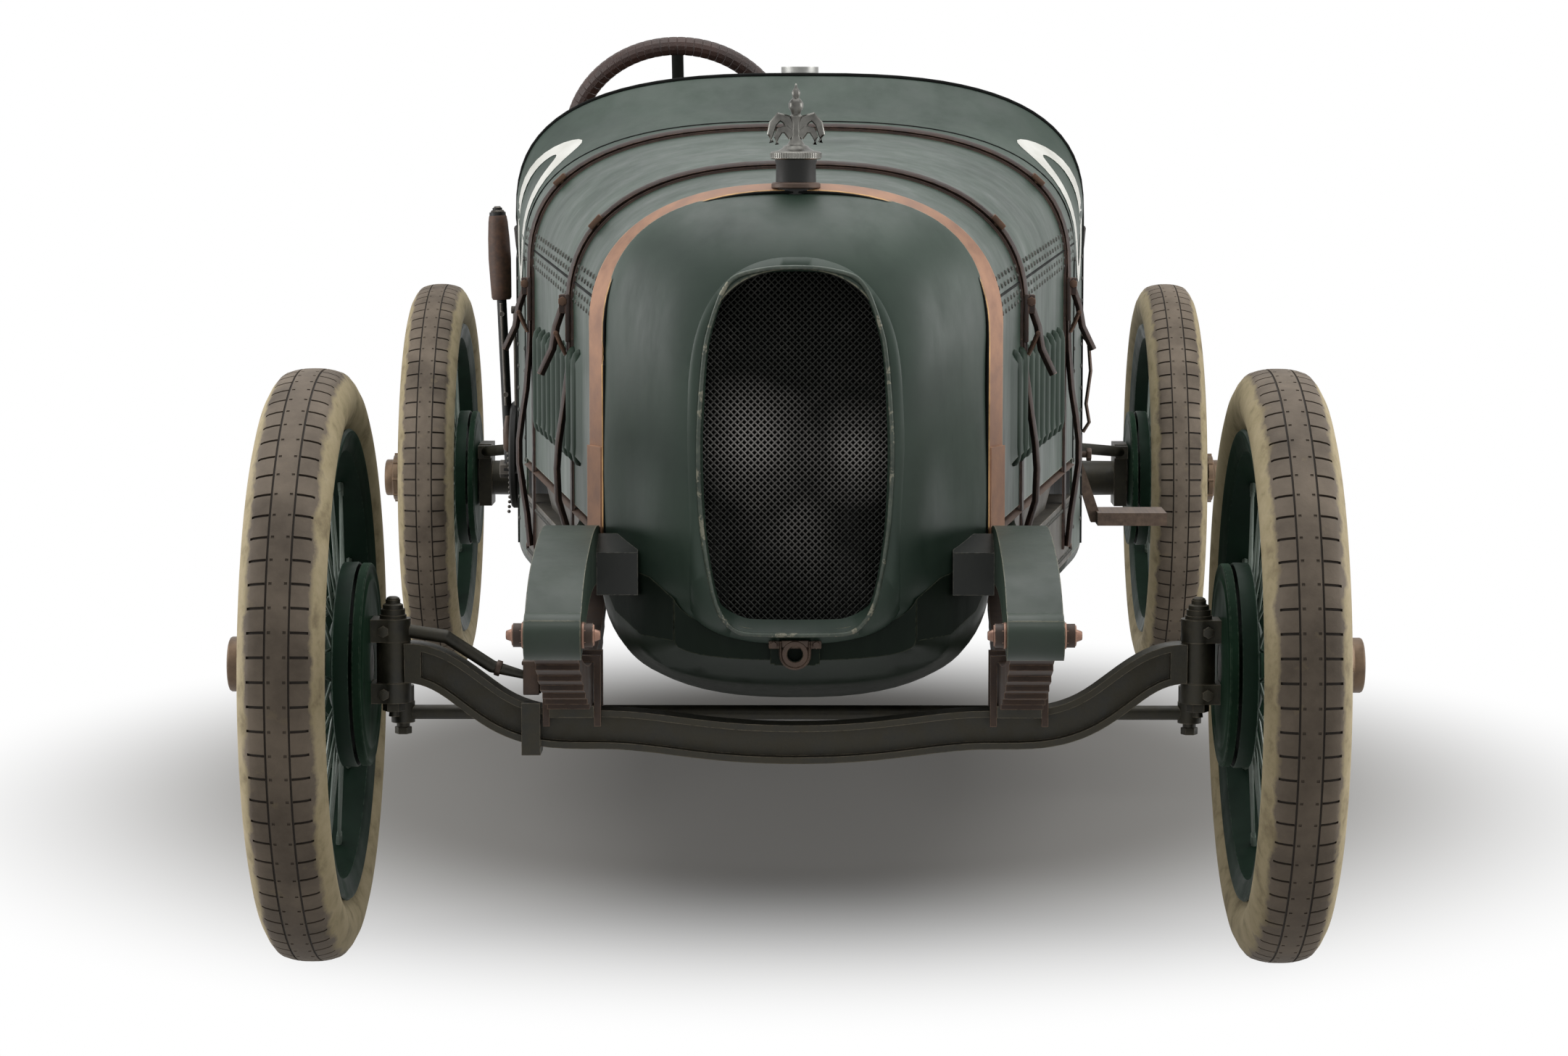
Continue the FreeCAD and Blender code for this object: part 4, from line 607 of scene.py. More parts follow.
def spoke_form():
    bm = bmesh.new()
    for hub_radius, hub_x, rim_x, count, start, lean in SPOKE_ROWS:
        for i in range(count):
            a0 = math.radians(360.0 * i / count + start)
            a1 = a0 + math.radians(lean if i % 2 else -lean)
            foot = Vector((hub_x, hub_radius * math.sin(a0), hub_radius * math.cos(a0))) * MM
            top = Vector((rim_x, (WELL - 1) * math.sin(a1), (WELL - 1) * math.cos(a1))) * MM
            cylinder(bm, foot, top, SPOKE_RADIUS, None, 6)
            cylinder(bm, top + (foot - top).normalized() * NIPPLE_LENGTH, top, 4.0, 5.0, 6)
    return bm


def hub_form():
    bm = bmesh.new()
    outline = [(-58.0, 24.2), (-58.0, 60.0), (-51.0, 61.0), (-51.0, 146.0), (-64.0, 149.0), (-64.5, 151.0),
               (-62.0, 152.5), (-42.0, 152.0), (-40.0, 149.0), (-40.0, 80.0), (-36.0, 76.0), (-29.0, 75.0),
               (-24.0, 62.0), (-20.0, 48.0), (0.0, 42.0), (70.0, 38.0), (76.0, 42.0), (78.0, 50.0),
               (81.0, 53.0), (92.0, 53.0), (95.0, 50.0), (96.0, 40.0), (96.0, 24.2)]
    turned(bm, outline, ORIGIN, X, 64)
    for i in range(10):
        place = turn_about(X, 36.0 * i) @ Vector((-0.040, 0, 0.066))
        cylinder(bm, place, place + Vector((0.012, 0, 0)), 6.0, None, 6, 0.8)
    return bm


def hub_cap_form():
    """The two-step nut that holds the wheel."""
    bm = bmesh.new()
    outline = [(97.0, 24.5), (97.0, 50.0), (99.0, 52.0), (108.0, 52.0), (110.0, 50.0), (111.0, 43.0),
               (113.0, 41.0), (125.0, 41.0), (127.5, 39.5), (129.0, 36.0), (129.0, 20.0), (126.0, 15.0),
               (126.0, 0.1), (108.0, 0.1), (108.0, 24.5)]
    turned(bm, outline, ORIGIN, X, 40)
    for i in range(8):
        slot = turn_about(X, 45.0 * i) @ Vector((0.103, 0, 0.0515))
        cylinder(bm, slot - Vector((0.006, 0, 0)), slot + Vector((0.006, 0, 0)), 4.0, None, 8)
    return bm


def shield_form(face):
    """The dished plate behind the brake drum, with its two lips; face is its outer side."""
    outline = [(0.3, 30.0), (0.3, 149.6), (-0.8, 151.0), (-10.5, 151.0), (-12.6, 149.5), (-12.8, 146.0),
               (-11.6, 143.5), (-10.9, 140.0), (-11.2, 132.0), (-13.0, 129.0), (-13.2, 124.0), (-11.6, 120.0),
               (-12.4, 100.0), (-13.6, 70.0), (-13.6, 30.0)]
    bm = bmesh.new()
    turned(bm, [(face + a, r) for a, r in outline], ORIGIN, X, 72)
    return bm


def on_wheel(form, name, wheel, material, body, sharp=35.0, stands_for=()):
    """A copy of a wheel's form at its wheel, turned to its side of the car."""
    bm = form.copy()
    bmesh.ops.transform(bm, matrix=outboard(WHEEL_CENTRES[wheel]), verts=bm.verts)
    return finished(name + "_" + wheel, bm, material, body, sharp, stands_for)


SHIELD_FACE = -69.5


def wheels():
    tyre, rim, spoke, hub, cap = tyre_form(), rim_form(), spoke_form(), hub_form(), hub_cap_form()
    shield = shield_form(SHIELD_FACE)
    for wheel in WHEEL_CENTRES:
        body = "wheel_" + wheel
        on_wheel(tyre, "tyre_tread", wheel, RUBBER, body, 40.0, ("tyre_" + wheel,))
        on_wheel(rim, "wheel_rim", wheel, WHEEL_PAINT, body, 40.0, ("wheel_" + wheel,))
        on_wheel(spoke, "wheel_spokes", wheel, SPOKE_PAINT_WITH_HIGHLIGHT, body, 50.0)
        on_wheel(hub, "wheel_hub", wheel, WHEEL_PAINT, body)
        on_wheel(cap, "hub_cap", wheel, CAP_BRASS, body)
        end, side = wheel.split("_")
        carrier = "knuckle_" + side if end == "front" else "chassis"
        on_wheel(shield, "dust_shield", wheel, SHIELD_PAINT, carrier)


# Body form, as the sheet metal is laid out: y and half width
BODY_PLAN = ((50.0, 288.0), (95.0, 308.0), (1220.0, 489.0), (1400.0, 516.0), (1750.0, 520.0), (2100.0, 512.0),
             (2450.0, 486.0))
# y, top, rise and power of the arch
BONNET_ENDS = ((95.0, 1149.0, 222.0, 2.4), (1220.0, 1244.0, 250.0, 2.7))
COWL_RIM = (1400.0, 1329.0, 260.0, 2.8)
SHEET = 1.5
# The nose's lip leans back from its foot to its top
LIP_FOOT_Y = -134.0
LIP_TOP_Y = -100.0
LIP_FOOT = 502.0
LIP_TOP = 1036.0
LIP_MIDDLE = (LIP_FOOT + LIP_TOP) / 2
LIP_HALF_WIDTH = 148.0
LIP_POWER = 2.5


def mix(a, b, share):
    return a + (b - a) * share


def body_width(y):
    for (y0, w0), (y1, w1) in zip(BODY_PLAN, BODY_PLAN[1:]):
        if y <= y1:
            return mix(w0, w1, (y - y0) / (y1 - y0))
    return BODY_PLAN[-1][1]


def arch_form(y):
    """Top, rise and power of the arch over bonnet and cowl at y."""
    y0, y1 = BONNET_ENDS[0][0], BONNET_ENDS[1][0]
    if y <= y1:
        share = (y - y0) / (y1 - y0)
        return [mix(a, b, share) for a, b in zip(BONNET_ENDS[0][1:], BONNET_ENDS[1][1:])]
    share = (y - y1) / (COWL_RIM[0] - y1)
    top, rise, power = BONNET_ENDS[1][1:]
    return [mix(top, COWL_RIM[1], 0.4 * share + 0.6 * share * share), mix(rise, COWL_RIM[2], share),
            mix(power, COWL_RIM[3], share)]


def on_body(y, degrees, proud=0.0):
    """A point on the arch: 0 degrees is the +x spring line, 90 the crown, below 0 counts mm down the side."""
    top, rise, power = arch_form(y)
    width = body_width(y)
    if degrees < 0:
        return at(width + proud, y, top - rise + degrees)
    a = math.radians(degrees)
    c, s = math.cos(a), math.sin(a)
    x = (width + proud) * math.copysign(abs(c) ** (2 / power), c)
    return at(x, y, top - rise + (rise + proud) * max(s, 0.0) ** (2 / power))


def side_at(y, z, proud=0.0):
    """The +x point of the body at a height."""
    top, rise, power = arch_form(y)
    up = (z - (top - rise)) / rise
    if up <= 0:
        return at(body_width(y) + proud, y, z)
    return at(body_width(y) * (1 - up ** power) ** (1 / power) + proud, y, z)


def side_normal(y, z):
    a, b, c = side_at(y, z), side_at(y + 5, z), side_at(y, z + 5)
    return (b - a).cross(c - a).normalized()


def rivet_form(radius=4.4, height=3.0):
    bm = bmesh.new()
    bmesh.ops.create_uvsphere(bm, u_segments=8, v_segments=6, radius=1.0)
    bmesh.ops.bisect_plane(bm, geom=bm.verts[:] + bm.edges[:] + bm.faces[:], plane_co=ORIGIN, plane_no=-Z,
                           clear_outer=True)
    flatten = Matrix.Diagonal((radius * MM, radius * MM, height * MM, 1))
    bmesh.ops.transform(bm, matrix=flatten, verts=bm.verts)
    return bm


def both_ways(places):
    """The places and their mirror images over the car's middle."""
    flip = Matrix.Diagonal((-1, 1, 1, 1))
    return places + [flip @ p for p in places]


def seated(point, normal):
    return Matrix.Translation(point) @ facing(normal)


def hinge_z(y):
    """The height of the bonnet's hinge line."""
    return 982.0 + (y - 95.0) * 0.0416


RIVET_PITCH = 40.0
TUB_RIVET_PITCH = 22.0


def body_rivets():
    """Rows beside the hinge lines, at the cowl's two edges and along the tub."""
    on_sheet = []
    for i in range(28):
        y = 112.0 + i * RIVET_PITCH
        on_sheet += [(y, hinge_z(y) + offset) for offset in (-26.0, -12.0, 12.0, 26.0)]
    on_sheet += [(y, z) for z in range(520, 1040, 40) for y in (1236.0, 1384.0)]
    places = [seated(side_at(y, z), side_normal(y, z)) for y, z in on_sheet]
    for i in range(34):
        y = 480.0 + i * TUB_RIVET_PITCH
        places += [seated(at(body_width(y), y, z), side_normal(y, 700)) for z in (484, 568)]
    bm = bmesh.new()
    stamp(bm, rivet_form(), both_ways(places))
    return finished("body_rivets", bm, RIVET_METAL, sharp=60)


def lip_y(z):
    """Where the nose's lip lies along the car at a height."""
    return mix(LIP_FOOT_Y, LIP_TOP_Y, (z - LIP_FOOT) / (LIP_TOP - LIP_FOOT))


def lip_parts(shrink):
    """Half width of the lip drawn in by shrink, then level and height of its upper and its lower arch."""
    rise, drop = 0.36 * (LIP_TOP - LIP_FOOT) - shrink, 0.13 * (LIP_TOP - LIP_FOOT) - shrink
    return LIP_HALF_WIDTH - shrink, (LIP_TOP - shrink - rise, rise), (LIP_FOOT + shrink + drop, drop)


def nose_lip_points(shrink, push, steps):
    """The nose's lip as a loop of points, drawn in by shrink and back by push."""
    width, upper, lower = lip_parts(shrink)
    points = []
    for i in range(steps):
        a = 2 * math.pi * i / steps
        c, s = math.cos(a), math.sin(a)
        level, height = upper if s >= 0 else lower
        x = width * math.copysign(abs(c) ** (2 / LIP_POWER), c)
        z = level + height * math.copysign(abs(s) ** (2 / LIP_POWER), s)
        points.append(at(x, lip_y(z) + push, z))
    return points


def inside_lip(x, z, shrink=0.0):
    """Whether a point lies inside the nose's lip, drawn in by shrink."""
    width, (high, rise), (low, drop) = lip_parts(shrink)
    if abs(x) >= width:
        return False
    past = max((z - high) / rise, (low - z) / drop, 0.0)
    return (abs(x) / width) ** LIP_POWER + past ** LIP_POWER < 1


OPENING = ((0.0, 1032.0), (39.0, 1030.0), (82.5, 1020.0), (100.6, 1003.0), (112.0, 979.0), (123.0, 945.0),
           (130.0, 911.5), (136.0, 844.0), (139.0, 776.0), (137.5, 708.0), (132.0, 640.5), (120.5, 573.0),
           (110.0, 539.0), (96.0, 518.6), (80.0, 508.0), (55.0, 505.0), (0.0, 504.0))


OPENING_STEPS = 6


def opening_points():
    """The opening's edge as (x, z), round from the top, smoothed between the measured points."""
    half = []
    count = len(OPENING)
    for i in range(count - 1):
        near = (OPENING[max(i - 1, 0)], OPENING[i], OPENING[i + 1], OPENING[min(i + 2, count - 1)])
        for k in range(OPENING_STEPS):
            t = k / OPENING_STEPS
            shares = (-0.5 * t + t * t - 0.5 * t ** 3, 1 - 2.5 * t * t + 1.5 * t ** 3,
                      0.5 * t + 2 * t * t - 1.5 * t ** 3, -0.5 * t * t + 0.5 * t ** 3)
            half.append(tuple(sum(share * point[axis] for share, point in zip(shares, near))
                              for axis in (0, 1)))
    half.append(OPENING[-1])
    return half + [(-x, z) for x, z in reversed(half[1:-1])]


def lip_reach(x, z):
    """How far out from the middle of the opening the nose's lip lies in the direction of a point."""
    low, high = 0.6, 1.8
    for _ in range(24):
        share = (low + high) / 2
        if inside_lip(x * share, LIP_MIDDLE + (z - LIP_MIDDLE) * share):
            low = share
        else:
            high = share
    return low


def grille_surround():
    """Sheet round the grille, from the nose's lip in to the narrower opening, with its rolled rim."""
    lines = []
    rim = []
    for x, z in opening_points():
        out = Vector((x, 0, z - LIP_MIDDLE))
        edge = out * lip_reach(x, z)
        unit = out.normalized()
        proud = 3.0 + 8.0 * max(0.0, min(1.0, (640.0 - z) / 90.0))
        inward = 5.0 + 13.0 * max(0.0, min(1.0, (540.0 - z) / 30.0))
        section = ((edge + unit * 15.0, 13.0), (edge + unit * 13.5, 8.0),
                   (edge + unit * 0.5, -2.2 - proud * 0.3), (out + unit * 4.0, -proud), (out, 3.0 - proud),
                   (out - unit * inward, 17.0), (edge + unit * 4.0, 17.5))
        lines.append([at(p.x, lip_y(LIP_MIDDLE + p.z) + push, LIP_MIDDLE + p.z) for p, push in section])
        rim.append(at(x + unit.x * 1.5, lip_y(z) - proud + 0.5, z + unit.z * 1.5))
    loops = list(zip(*lines))
    bm = bmesh.new()
    loft(bm, loops + [loops[0]])
    bmesh.ops.remove_doubles(bm, verts=bm.verts, dist=MERGE)
    finished("grille_surround", bm, SURROUND_PAINT, sharp=50)
    bm = bmesh.new()
    sweep(bm, rim, 3.4, 10, True, up=Y)
    finished("opening_rim", bm, RIM_PAINT, sharp=60)


def mesh_painted_shade():
    """A dark sheet close behind the wire: painted shade for the dark inside the nose."""
    bm = bmesh.new()
    bm.faces.new([bm.verts.new(p) for p in nose_lip_points(3.0, 31.0, 72)])
    bmesh.ops.solidify(bm, geom=bm.faces[:], thickness=SHEET * MM)
    return finished("mesh_painted_shade", bm, JOINT_AND_SHADE_PAINT, sharp=60)


# The nose's rear part: y, half width, foot, top and power; then the belly pan's edge: y, x, z
NOSE_BACK = ((-112.0, 180.0, 498.0, 1062.0, 2.5), (-80.0, 212.0, 499.0, 1088.0, 2.55),
             (-40.0, 240.0, 504.0, 1109.0, 2.6), (10.0, 268.0, 516.0, 1127.0, 2.65),
             (50.0, 285.0, 530.0, 1139.0, 2.7))
PAN_EDGE = ((-112.0, 176.0, 492.0), (-60.0, 226.0, 494.0), (20.0, 268.0, 520.0), (50.0, 285.5, 556.0))
CHIN_Y = -114.5


def chin():
    """Sheets that close the gap between the nose's underside and the belly pan, in a darker green that is
    painted shade.
    """
    y, half_width, foot, top, power = NOSE_BACK[0]
    drop = 0.13 * (top - foot)
    upper, lower = [], []
    for i in range(33):
        a = math.pi * i / 32
        c, s = math.cos(a), math.sin(a)
        x = -176.0 * math.copysign(abs(c) ** 0.8, c)
        sag = drop * (1 - (abs(x) / half_width) ** power) ** (1 / power)
        upper.append(at(x, CHIN_Y, foot + drop + 3.0 - sag))
        lower.append(at(x, CHIN_Y, 492.0 - 30.0 * max(s, 0.0) ** 0.8))
    bm = bmesh.new()
    strip(bm, upper, lower)
    for side in SIDES:
        high = [at(side * (w + 1.0), y, foot + 0.13 * (top - foot) + 4.0)
                for y, w, foot, top, power in NOSE_BACK]
        low = [at(side * (x + 1.0), y, z - 2.0) for y, x, z in PAN_EDGE]
        low.insert(2, (low[1] + low[2]) / 2)
        high[0] = at(side * 177.0, CHIN_Y, 552.0)
        strip(bm, high, low)
    bmesh.ops.recalc_face_normals(bm, faces=bm.faces)
    bmesh.ops.solidify(bm, geom=bm.faces[:], thickness=SHEET * MM)
    return finished("chin_sheets", bm, SHADED_CHIN_PAINT, sharp=50)


MESH_PITCH = 7.0
MESH_WIRE_RADIUS = 1.15
MESH_WAVE = 0.8
MESH_DEPTH = 19.0
MESH_WIRES = 44


def wavy_wire(lean, steps):
    """One wire of the mesh through the origin, bent over and under the wires that it crosses."""
    bm = bmesh.new()
    path = []
    for i in range(-steps, steps + 1):
        run = i * MESH_PITCH * MM / math.sqrt(2)
        wave = (MESH_WAVE if i % 2 else -MESH_WAVE) * MM
        path.append(Vector((run * lean, wave * lean, run)))
    sweep(bm, path, MESH_WIRE_RADIUS, 4, up=Y)
    return bm


def grille():
    """Woven wire at 45 degrees inside the nose's opening, held in a ring."""
    lean_back = math.atan2(LIP_TOP_Y - LIP_FOOT_Y, LIP_TOP - LIP_FOOT)
    middle = at(0, lip_y(LIP_MIDDLE) + MESH_DEPTH, LIP_MIDDLE)
    tilt = Matrix.Rotation(-lean_back, 4, "X")
    bm = bmesh.new()
    for lean in SIDES:
        places = []
        for i in range(-MESH_WIRES, MESH_WIRES + 1):
            shift = Vector((i * MESH_PITCH * MM * math.sqrt(2), 0, 0))
            places.append(Matrix.Translation(middle) @ tilt @ Matrix.Translation(shift))
        stamp(bm, wavy_wire(lean, 60), places)
    outside = [v for v in bm.verts if not inside_lip(v.co.x / MM, v.co.z / MM, 2.0)]
    bmesh.ops.delete(bm, geom=outside, context="VERTS")
    bmesh.ops.holes_fill(bm, edges=[e for e in bm.edges if e.is_boundary], sides=4)
    sweep(bm, nose_lip_points(4.0, MESH_DEPTH, 96), 5.0, 6, True, up=Y)
    return finished("woven_mesh", bm, MESH_WIRE, sharp=80, stands_for=("grille_mesh",))


def over_body(y, half, low, top, rise, power, steps=40):
    """A line over the body at y: up one side, over the arch and down the other."""
    side = [at(half, y, mix(low, top - rise, i / 8)) for i in range(8)]
    arch = []
    for i in range(steps + 1):
        a = math.pi * i / steps
        c, s = math.cos(a), max(math.sin(a), 0.0)
        x = half * math.copysign(abs(c) ** (2 / power), c)
        arch.append(at(x, y, top - rise + rise * s ** (2 / power)))
    return side + arch + [Vector((-p.x, p.y, p.z)) for p in reversed(side)]


def over_at(y, low, proud=0.0):
    top, rise, power = arch_form(y)
    return over_body(y, body_width(y) + proud, low, top + proud, rise + proud, power)


def body_seams():
    """Dark joints: the hinge lines, the cowl's two edges and the joint at the copper band's front edge."""
    bm = bmesh.new()
    sweep(bm, [side_at(y, hinge_z(y), 0.4) for y in range(100, 1217, 31)], 2.3, 6)
    mirror_over(bm)
    sweep(bm, over_at(1219.5, 645, -0.2), 2.2, 6)
    sweep(bm, over_at(1401.0, 473, -1.5), 4.6, 8)
    sweep(bm, over_body(43.6, 284.6, 625, 1139.2, 219.5, 2.4), 2.4, 6)
    return finished("body_seams", bm, JOINT_AND_SHADE_PAINT, sharp=60)


def copper_bead():
    """The bright bead along the copper band's front edge."""
    bm = bmesh.new()
    sweep(bm, over_body(48.6, 286.5, 625, 1141.0, 221.0, 2.4), 2.6, 6)
    return finished("band_bead", bm, BRIGHT_COPPER, sharp=60)


LEDGE_Z = 634.0
VALANCE_FOOT = 573.0


def bonnet_ledges():
    """Varnished wooden ledges under the bonnet's lower edges."""
    bm = bmesh.new()
    sweep(bm, [at(body_width(y) - 17.0, y, LEDGE_Z) for y in (100.0, 658.0, 1216.0)], 22.0, 4, flat=0.35)
    mirror_over(bm)
    return finished("bonnet_ledges", bm, LEDGE_WOOD, sharp=40)


def frame_valances():
    """Sheets from the ledges down to the frame's rails."""
    bm = bmesh.new()
    run = [300.0 + 65.0 * i for i in range(11)]
    strip(bm, [at(body_width(y) - 9.0, y, LEDGE_Z) for y in run],
          [at(max(body_width(y) - 24.0, 341.5), y, VALANCE_FOOT) for y in run])
    bmesh.ops.solidify(bm, geom=bm.faces[:], thickness=SHEET * MM)
    mirror_over(bm)
    return finished("frame_valances", bm, SKIRT_PAINT, sharp=50)


STRAP_YS = (365.0, 1050.0)
SADDLE_XS = (306.0, 406.0)


def strap_saddles():
    """Small clips that hold the straps to the bonnet's shoulders."""
    bm = bmesh.new()
    for y, x in zip(STRAP_YS, SADDLE_XS):
        power = arch_form(y)[2]
        degrees = math.degrees(math.acos((x / body_width(y)) ** (power / 2)))
        place, after = on_body(y, degrees, 9.5), on_body(y, degrees + 1, 9.5)
        run = (after - place).normalized()
        turn = Matrix((run, Y, run.cross(Y))).transposed().to_4x4()
        template = bmesh.new()
        block(template, Vector((-13, -18, -5)) * MM, Vector((13, 18, 5)) * MM, 2.0)
        for end in SIDES:
            cylinder(template, Vector((0, end * 13, 4)) * MM, Vector((0, end * 13, 7)) * MM, 4.0, 3.0, 10)
        stamp(bm, template, [Matrix.Translation(place) @ turn])
    mirror_over(bm)
    return finished("strap_saddles", bm, NUT_COPPER, sharp=35)


LOUVRE_PITCH = 84.0
# Height and size of each section of a louvre's front
LOUVRE_SECTIONS = ((713, 0.06), (715, 0.45), (721, 0.78), (732, 0.97), (744, 1.0), (862, 1.0), (875, 0.97),
                   (886, 0.78), (892, 0.45), (894, 0.06))


def louvres():
    """Rounded fronts of the nine pressed louvres on each side, in a darker green that paints shade on them.
    """
    bm = bmesh.new()
    turn = [2 * math.pi * k / 16 for k in range(16)]
    for i in range(9):
        y = 262.0 + LOUVRE_PITCH * i
        w = body_width(y)
        loft(bm, [[at(w + 13.5 * size * math.cos(a), y + 20.0 * size * math.sin(a), z) for a in turn]
                  for z, size in LOUVRE_SECTIONS])
    mirror_over(bm)
    return finished("louvre_fronts", bm, SHADED_LOUVRE_PAINT, sharp=50)


# Down each strap's tail: height and how far it stands off the bonnet's side
STRAP_BOWS = (((905, 4), (860, 6), (800, 14), (740, 23), (700, 26), (650, 24), (620, 15), (598, 9)),
              ((905, 6), (850, 8), (780, 14), (730, 22), (690, 27), (650, 27), (600, 20), (560, 14),
               (505, 9)))


def straps():
    """The sprung straps over the bonnet and their tails, which bow out from its side."""
    bm = bmesh.new()
    for y, bow in zip(STRAP_YS, STRAP_BOWS):
        sweep(bm, over_at(y, 935.0, 5.6), 6.2, 12, flat=2.1, up=Y)
        for side in SIDES:
            tail = [at(side * (body_width(y) + off), y, z) for z, off in bow]
            sweep(bm, tail, 5.8, 12, flat=2.0, up=Y)
            foot = tail[-1]
            cylinder(bm, foot + X * side * 0.002, foot + X * side * 0.007, 5.5, None, 6, 0.8)
    return finished("strap_bands", bm, STRAP_STEEL, sharp=40)


def toggles():
    """Over-centre levers that draw the straps tight, each on a pivot with two links."""
    levers, fittings = bmesh.new(), bmesh.new()
    for y in STRAP_YS:
        w = body_width(y) + 4.9
        path = [at(w + a, y, z) for a, z in ((4, 966), (12, 950), (21, 924), (24, 906), (27, 889), (37, 868),
                                             (46, 849))]
        sweep(levers, path, 6.6, 10, flat=1.3, up=Y)
        block(levers, at(w - 2, y - 16, 900), at(w + 6, y + 16, 975), 2.0)
        for end in SIDES:
            block(levers, at(w + 2, y + end * 11 - 2, 945), at(w + 16, y + end * 11 + 2, 974), 1.0)
            path = [at(w + a, y + end * 9, z) for a, z in ((21, 914), (14, 896), (6, 880))]
            sweep(fittings, path, 3.2, 8, flat=1.0)
            pivot = at(w + 10, y + end * 13, 964)
            cylinder(fittings, pivot, pivot + Y * end * 0.004, 7.5, None, 6, 1.0)
        cylinder(fittings, at(w + 10, y - 14, 964), at(w + 10, y + 14, 964), 4.5, None, 12)
        cylinder(fittings, at(w + 21, y - 12, 914), at(w + 21, y + 12, 914), 4.0, None, 12, 0.8)
    mirror_over(levers)
    mirror_over(fittings)
    finished("toggle_levers", levers, STRAP_STEEL, sharp=40, stands_for=("strap_toggles",))
    return finished("toggle_fittings", fittings, NUT_COPPER, sharp=35)


SPRING_X = 331.0
KINGPIN_X = 598.0


def front_axle_fittings():
    """Caps and castle nuts on the knuckles."""
    for side, body in ((1, "knuckle_left"), (-1, "knuckle_right")):
        bm = bmesh.new()
        x = side * KINGPIN_X
        turned(bm, [(0, 0.2), (0, 20.0), (5, 20.0), (6, 16.0), (20, 15.0), (22, 11.0), (30, 9.5), (32, 6.0),
                    (32, 0.2)], at(x, 0, 509.5), Z, 32)
        cylinder(bm, at(x, 128, 316), at(x, 128, 327), 13.0, None, 6, 1.2)
        cylinder(bm, at(x, 0, 370), at(x, 0, 384), 17.0, None, 6, 1.5)
        cylinder(bm, at(x, 0, 362), at(x, 0, 370), 8.0, 7.0, 16)
        for z in (398.0, 492.0):
            cylinder(bm, at(x + side * 12, -24, z), at(x + side * 12, -31, z), 9.0, None, 6, 1.0)
        finished("kingpin_nuts_" + ("left" if side > 0 else "right"), bm, AXLE_STEEL, body, 35)


def crank_cup():
    """The bolted plate and the U-shaped cup round the starting dog's bore."""
    bm = bmesh.new()
    block(bm, at(-38.5, -131.0, 481), at(38.5, -125.5, 493), 2.0)
    curve = [math.pi * i / 12 for i in range(1, 12)]
    path = [at(-21, -134, 493), at(-21, -134, 474)]
    path += [at(-21 * math.cos(a), -134, 474 - 21 * math.sin(a)) for a in curve]
    path += [at(21, -134, 474), at(21, -134, 493)]
    sweep(bm, path, 2.6, 10, flat=3.4, up=Y)
    for side in SIDES:
        point = at(side * 31.0, -131.0, 487.0)
        cylinder(bm, point, point - Y * 0.006, 5.5, None, 6, 1.0)
    turned(bm, [(-7.0, 18.2), (-7.0, 20.0), (10.5, 20.0), (12.0, 18.5), (12.0, 12.5), (10.5, 11.4),
                (9.8, 11.4), (9.8, 18.2)], at(0, -128.5, 474), -Y, 36)
    block(bm, at(-20, -139.5, 484), at(20, -130.0, 494), 1.5)
    return finished("crank_cup", bm, CUP_BROWN, sharp=35)


def steering_arm():
    """The collar on the right-hand steering arm, and the plate and cap at the drag link's front end."""
    bm = bmesh.new()
    cylinder(bm, at(-446, 0, 435.5), at(-438, 0, 433), 12.0, None, 16, 1.2)
    finished("arm_collar", bm, CUP_BROWN, "knuckle_right", 40)
    bm = bmesh.new()
    block(bm, at(-404, -19.5, 396.5), at(-380, -14.5, 443), 1.5)
    block(bm, at(-406, -20.5, 441), at(-378, 15, 447), 1.5)
    return finished("drag_link_sleeve", bm, CUP_BROWN, "drag_link", 35)


def side_fittings():
    """What hangs on the scuttle: a quadrant plate with its rod and chain, and a hook on the other side."""
    bm = bmesh.new()
    turned(bm, [(0, 10.0), (0, 97.0), (3, 99.5), (11, 99.5), (14, 97.0), (14, 92.0), (11, 90.0), (11, 10.0)],
           at(-522, 1500, 627), -X, 56)
    finished("quadrant_plate", bm, BLACK_IRON, sharp=35)
    bm = bmesh.new()
    cylinder(bm, at(-526, 1470, 700), at(-528, 1470, 905), 3.0, None, 10)
    cylinder(bm, at(-524, 1470, 898), at(-534, 1470, 898), 7.0, None, 12, 1.0)
    for i in range(13):
        bead(bm, at(-541 + 0.9 * i * (1 - i / 13), 1462, 632 - 9.0 * i), 3.4, 8)
    finished("catch_rod", bm, BARE_STEEL, sharp=35)
    bm = bmesh.new()
    turned(bm, [(636, 0.2), (636, 5.0), (642, 9.0), (676, 9.5), (690, 7.0), (702, 4.5), (702, 0.2)],
           at(-541, 1462, 0), Z, 20)
    path = [at(x, y, z) for x, y, z in ((516, 1400, 856), (529, 1398, 842), (533, 1396, 790),
                                        (525, 1396, 730), (531, 1396, 696), (520, 1398, 678))]
    sweep(bm, path, 3.4, 8, flat=2.2, up=Y)
    cylinder(bm, at(508, 1392, 637), at(534, 1392, 637), 6.0, None, 12)
    cylinder(bm, at(526, 1392, 637), at(535, 1392, 637), 12.0, None, 6, 1.2)
    return finished("side_hook", bm, CUP_BROWN, sharp=40)


FILLER_Y = 71.0
# Height and radius up the lid and the urn on it
LID_OUTLINE = ((1187.5, 1.0), (1187.5, 36.0), (1189, 37.5), (1197, 37.5), (1199, 36.0), (1200, 27.0),
               (1202, 24.0), (1204, 20.0), (1207, 18.0), (1209, 13.0), (1216, 9.0), (1224, 7.0), (1240, 6.0),
               (1247, 8.5), (1251, 9.5), (1254, 6.5), (1258, 8.0), (1264, 11.0), (1270, 11.0), (1275, 8.0),
               (1278, 4.5), (1282, 6.0), (1286, 6.5), (1290, 4.5), (1294, 2.0), (1299, 1.0))
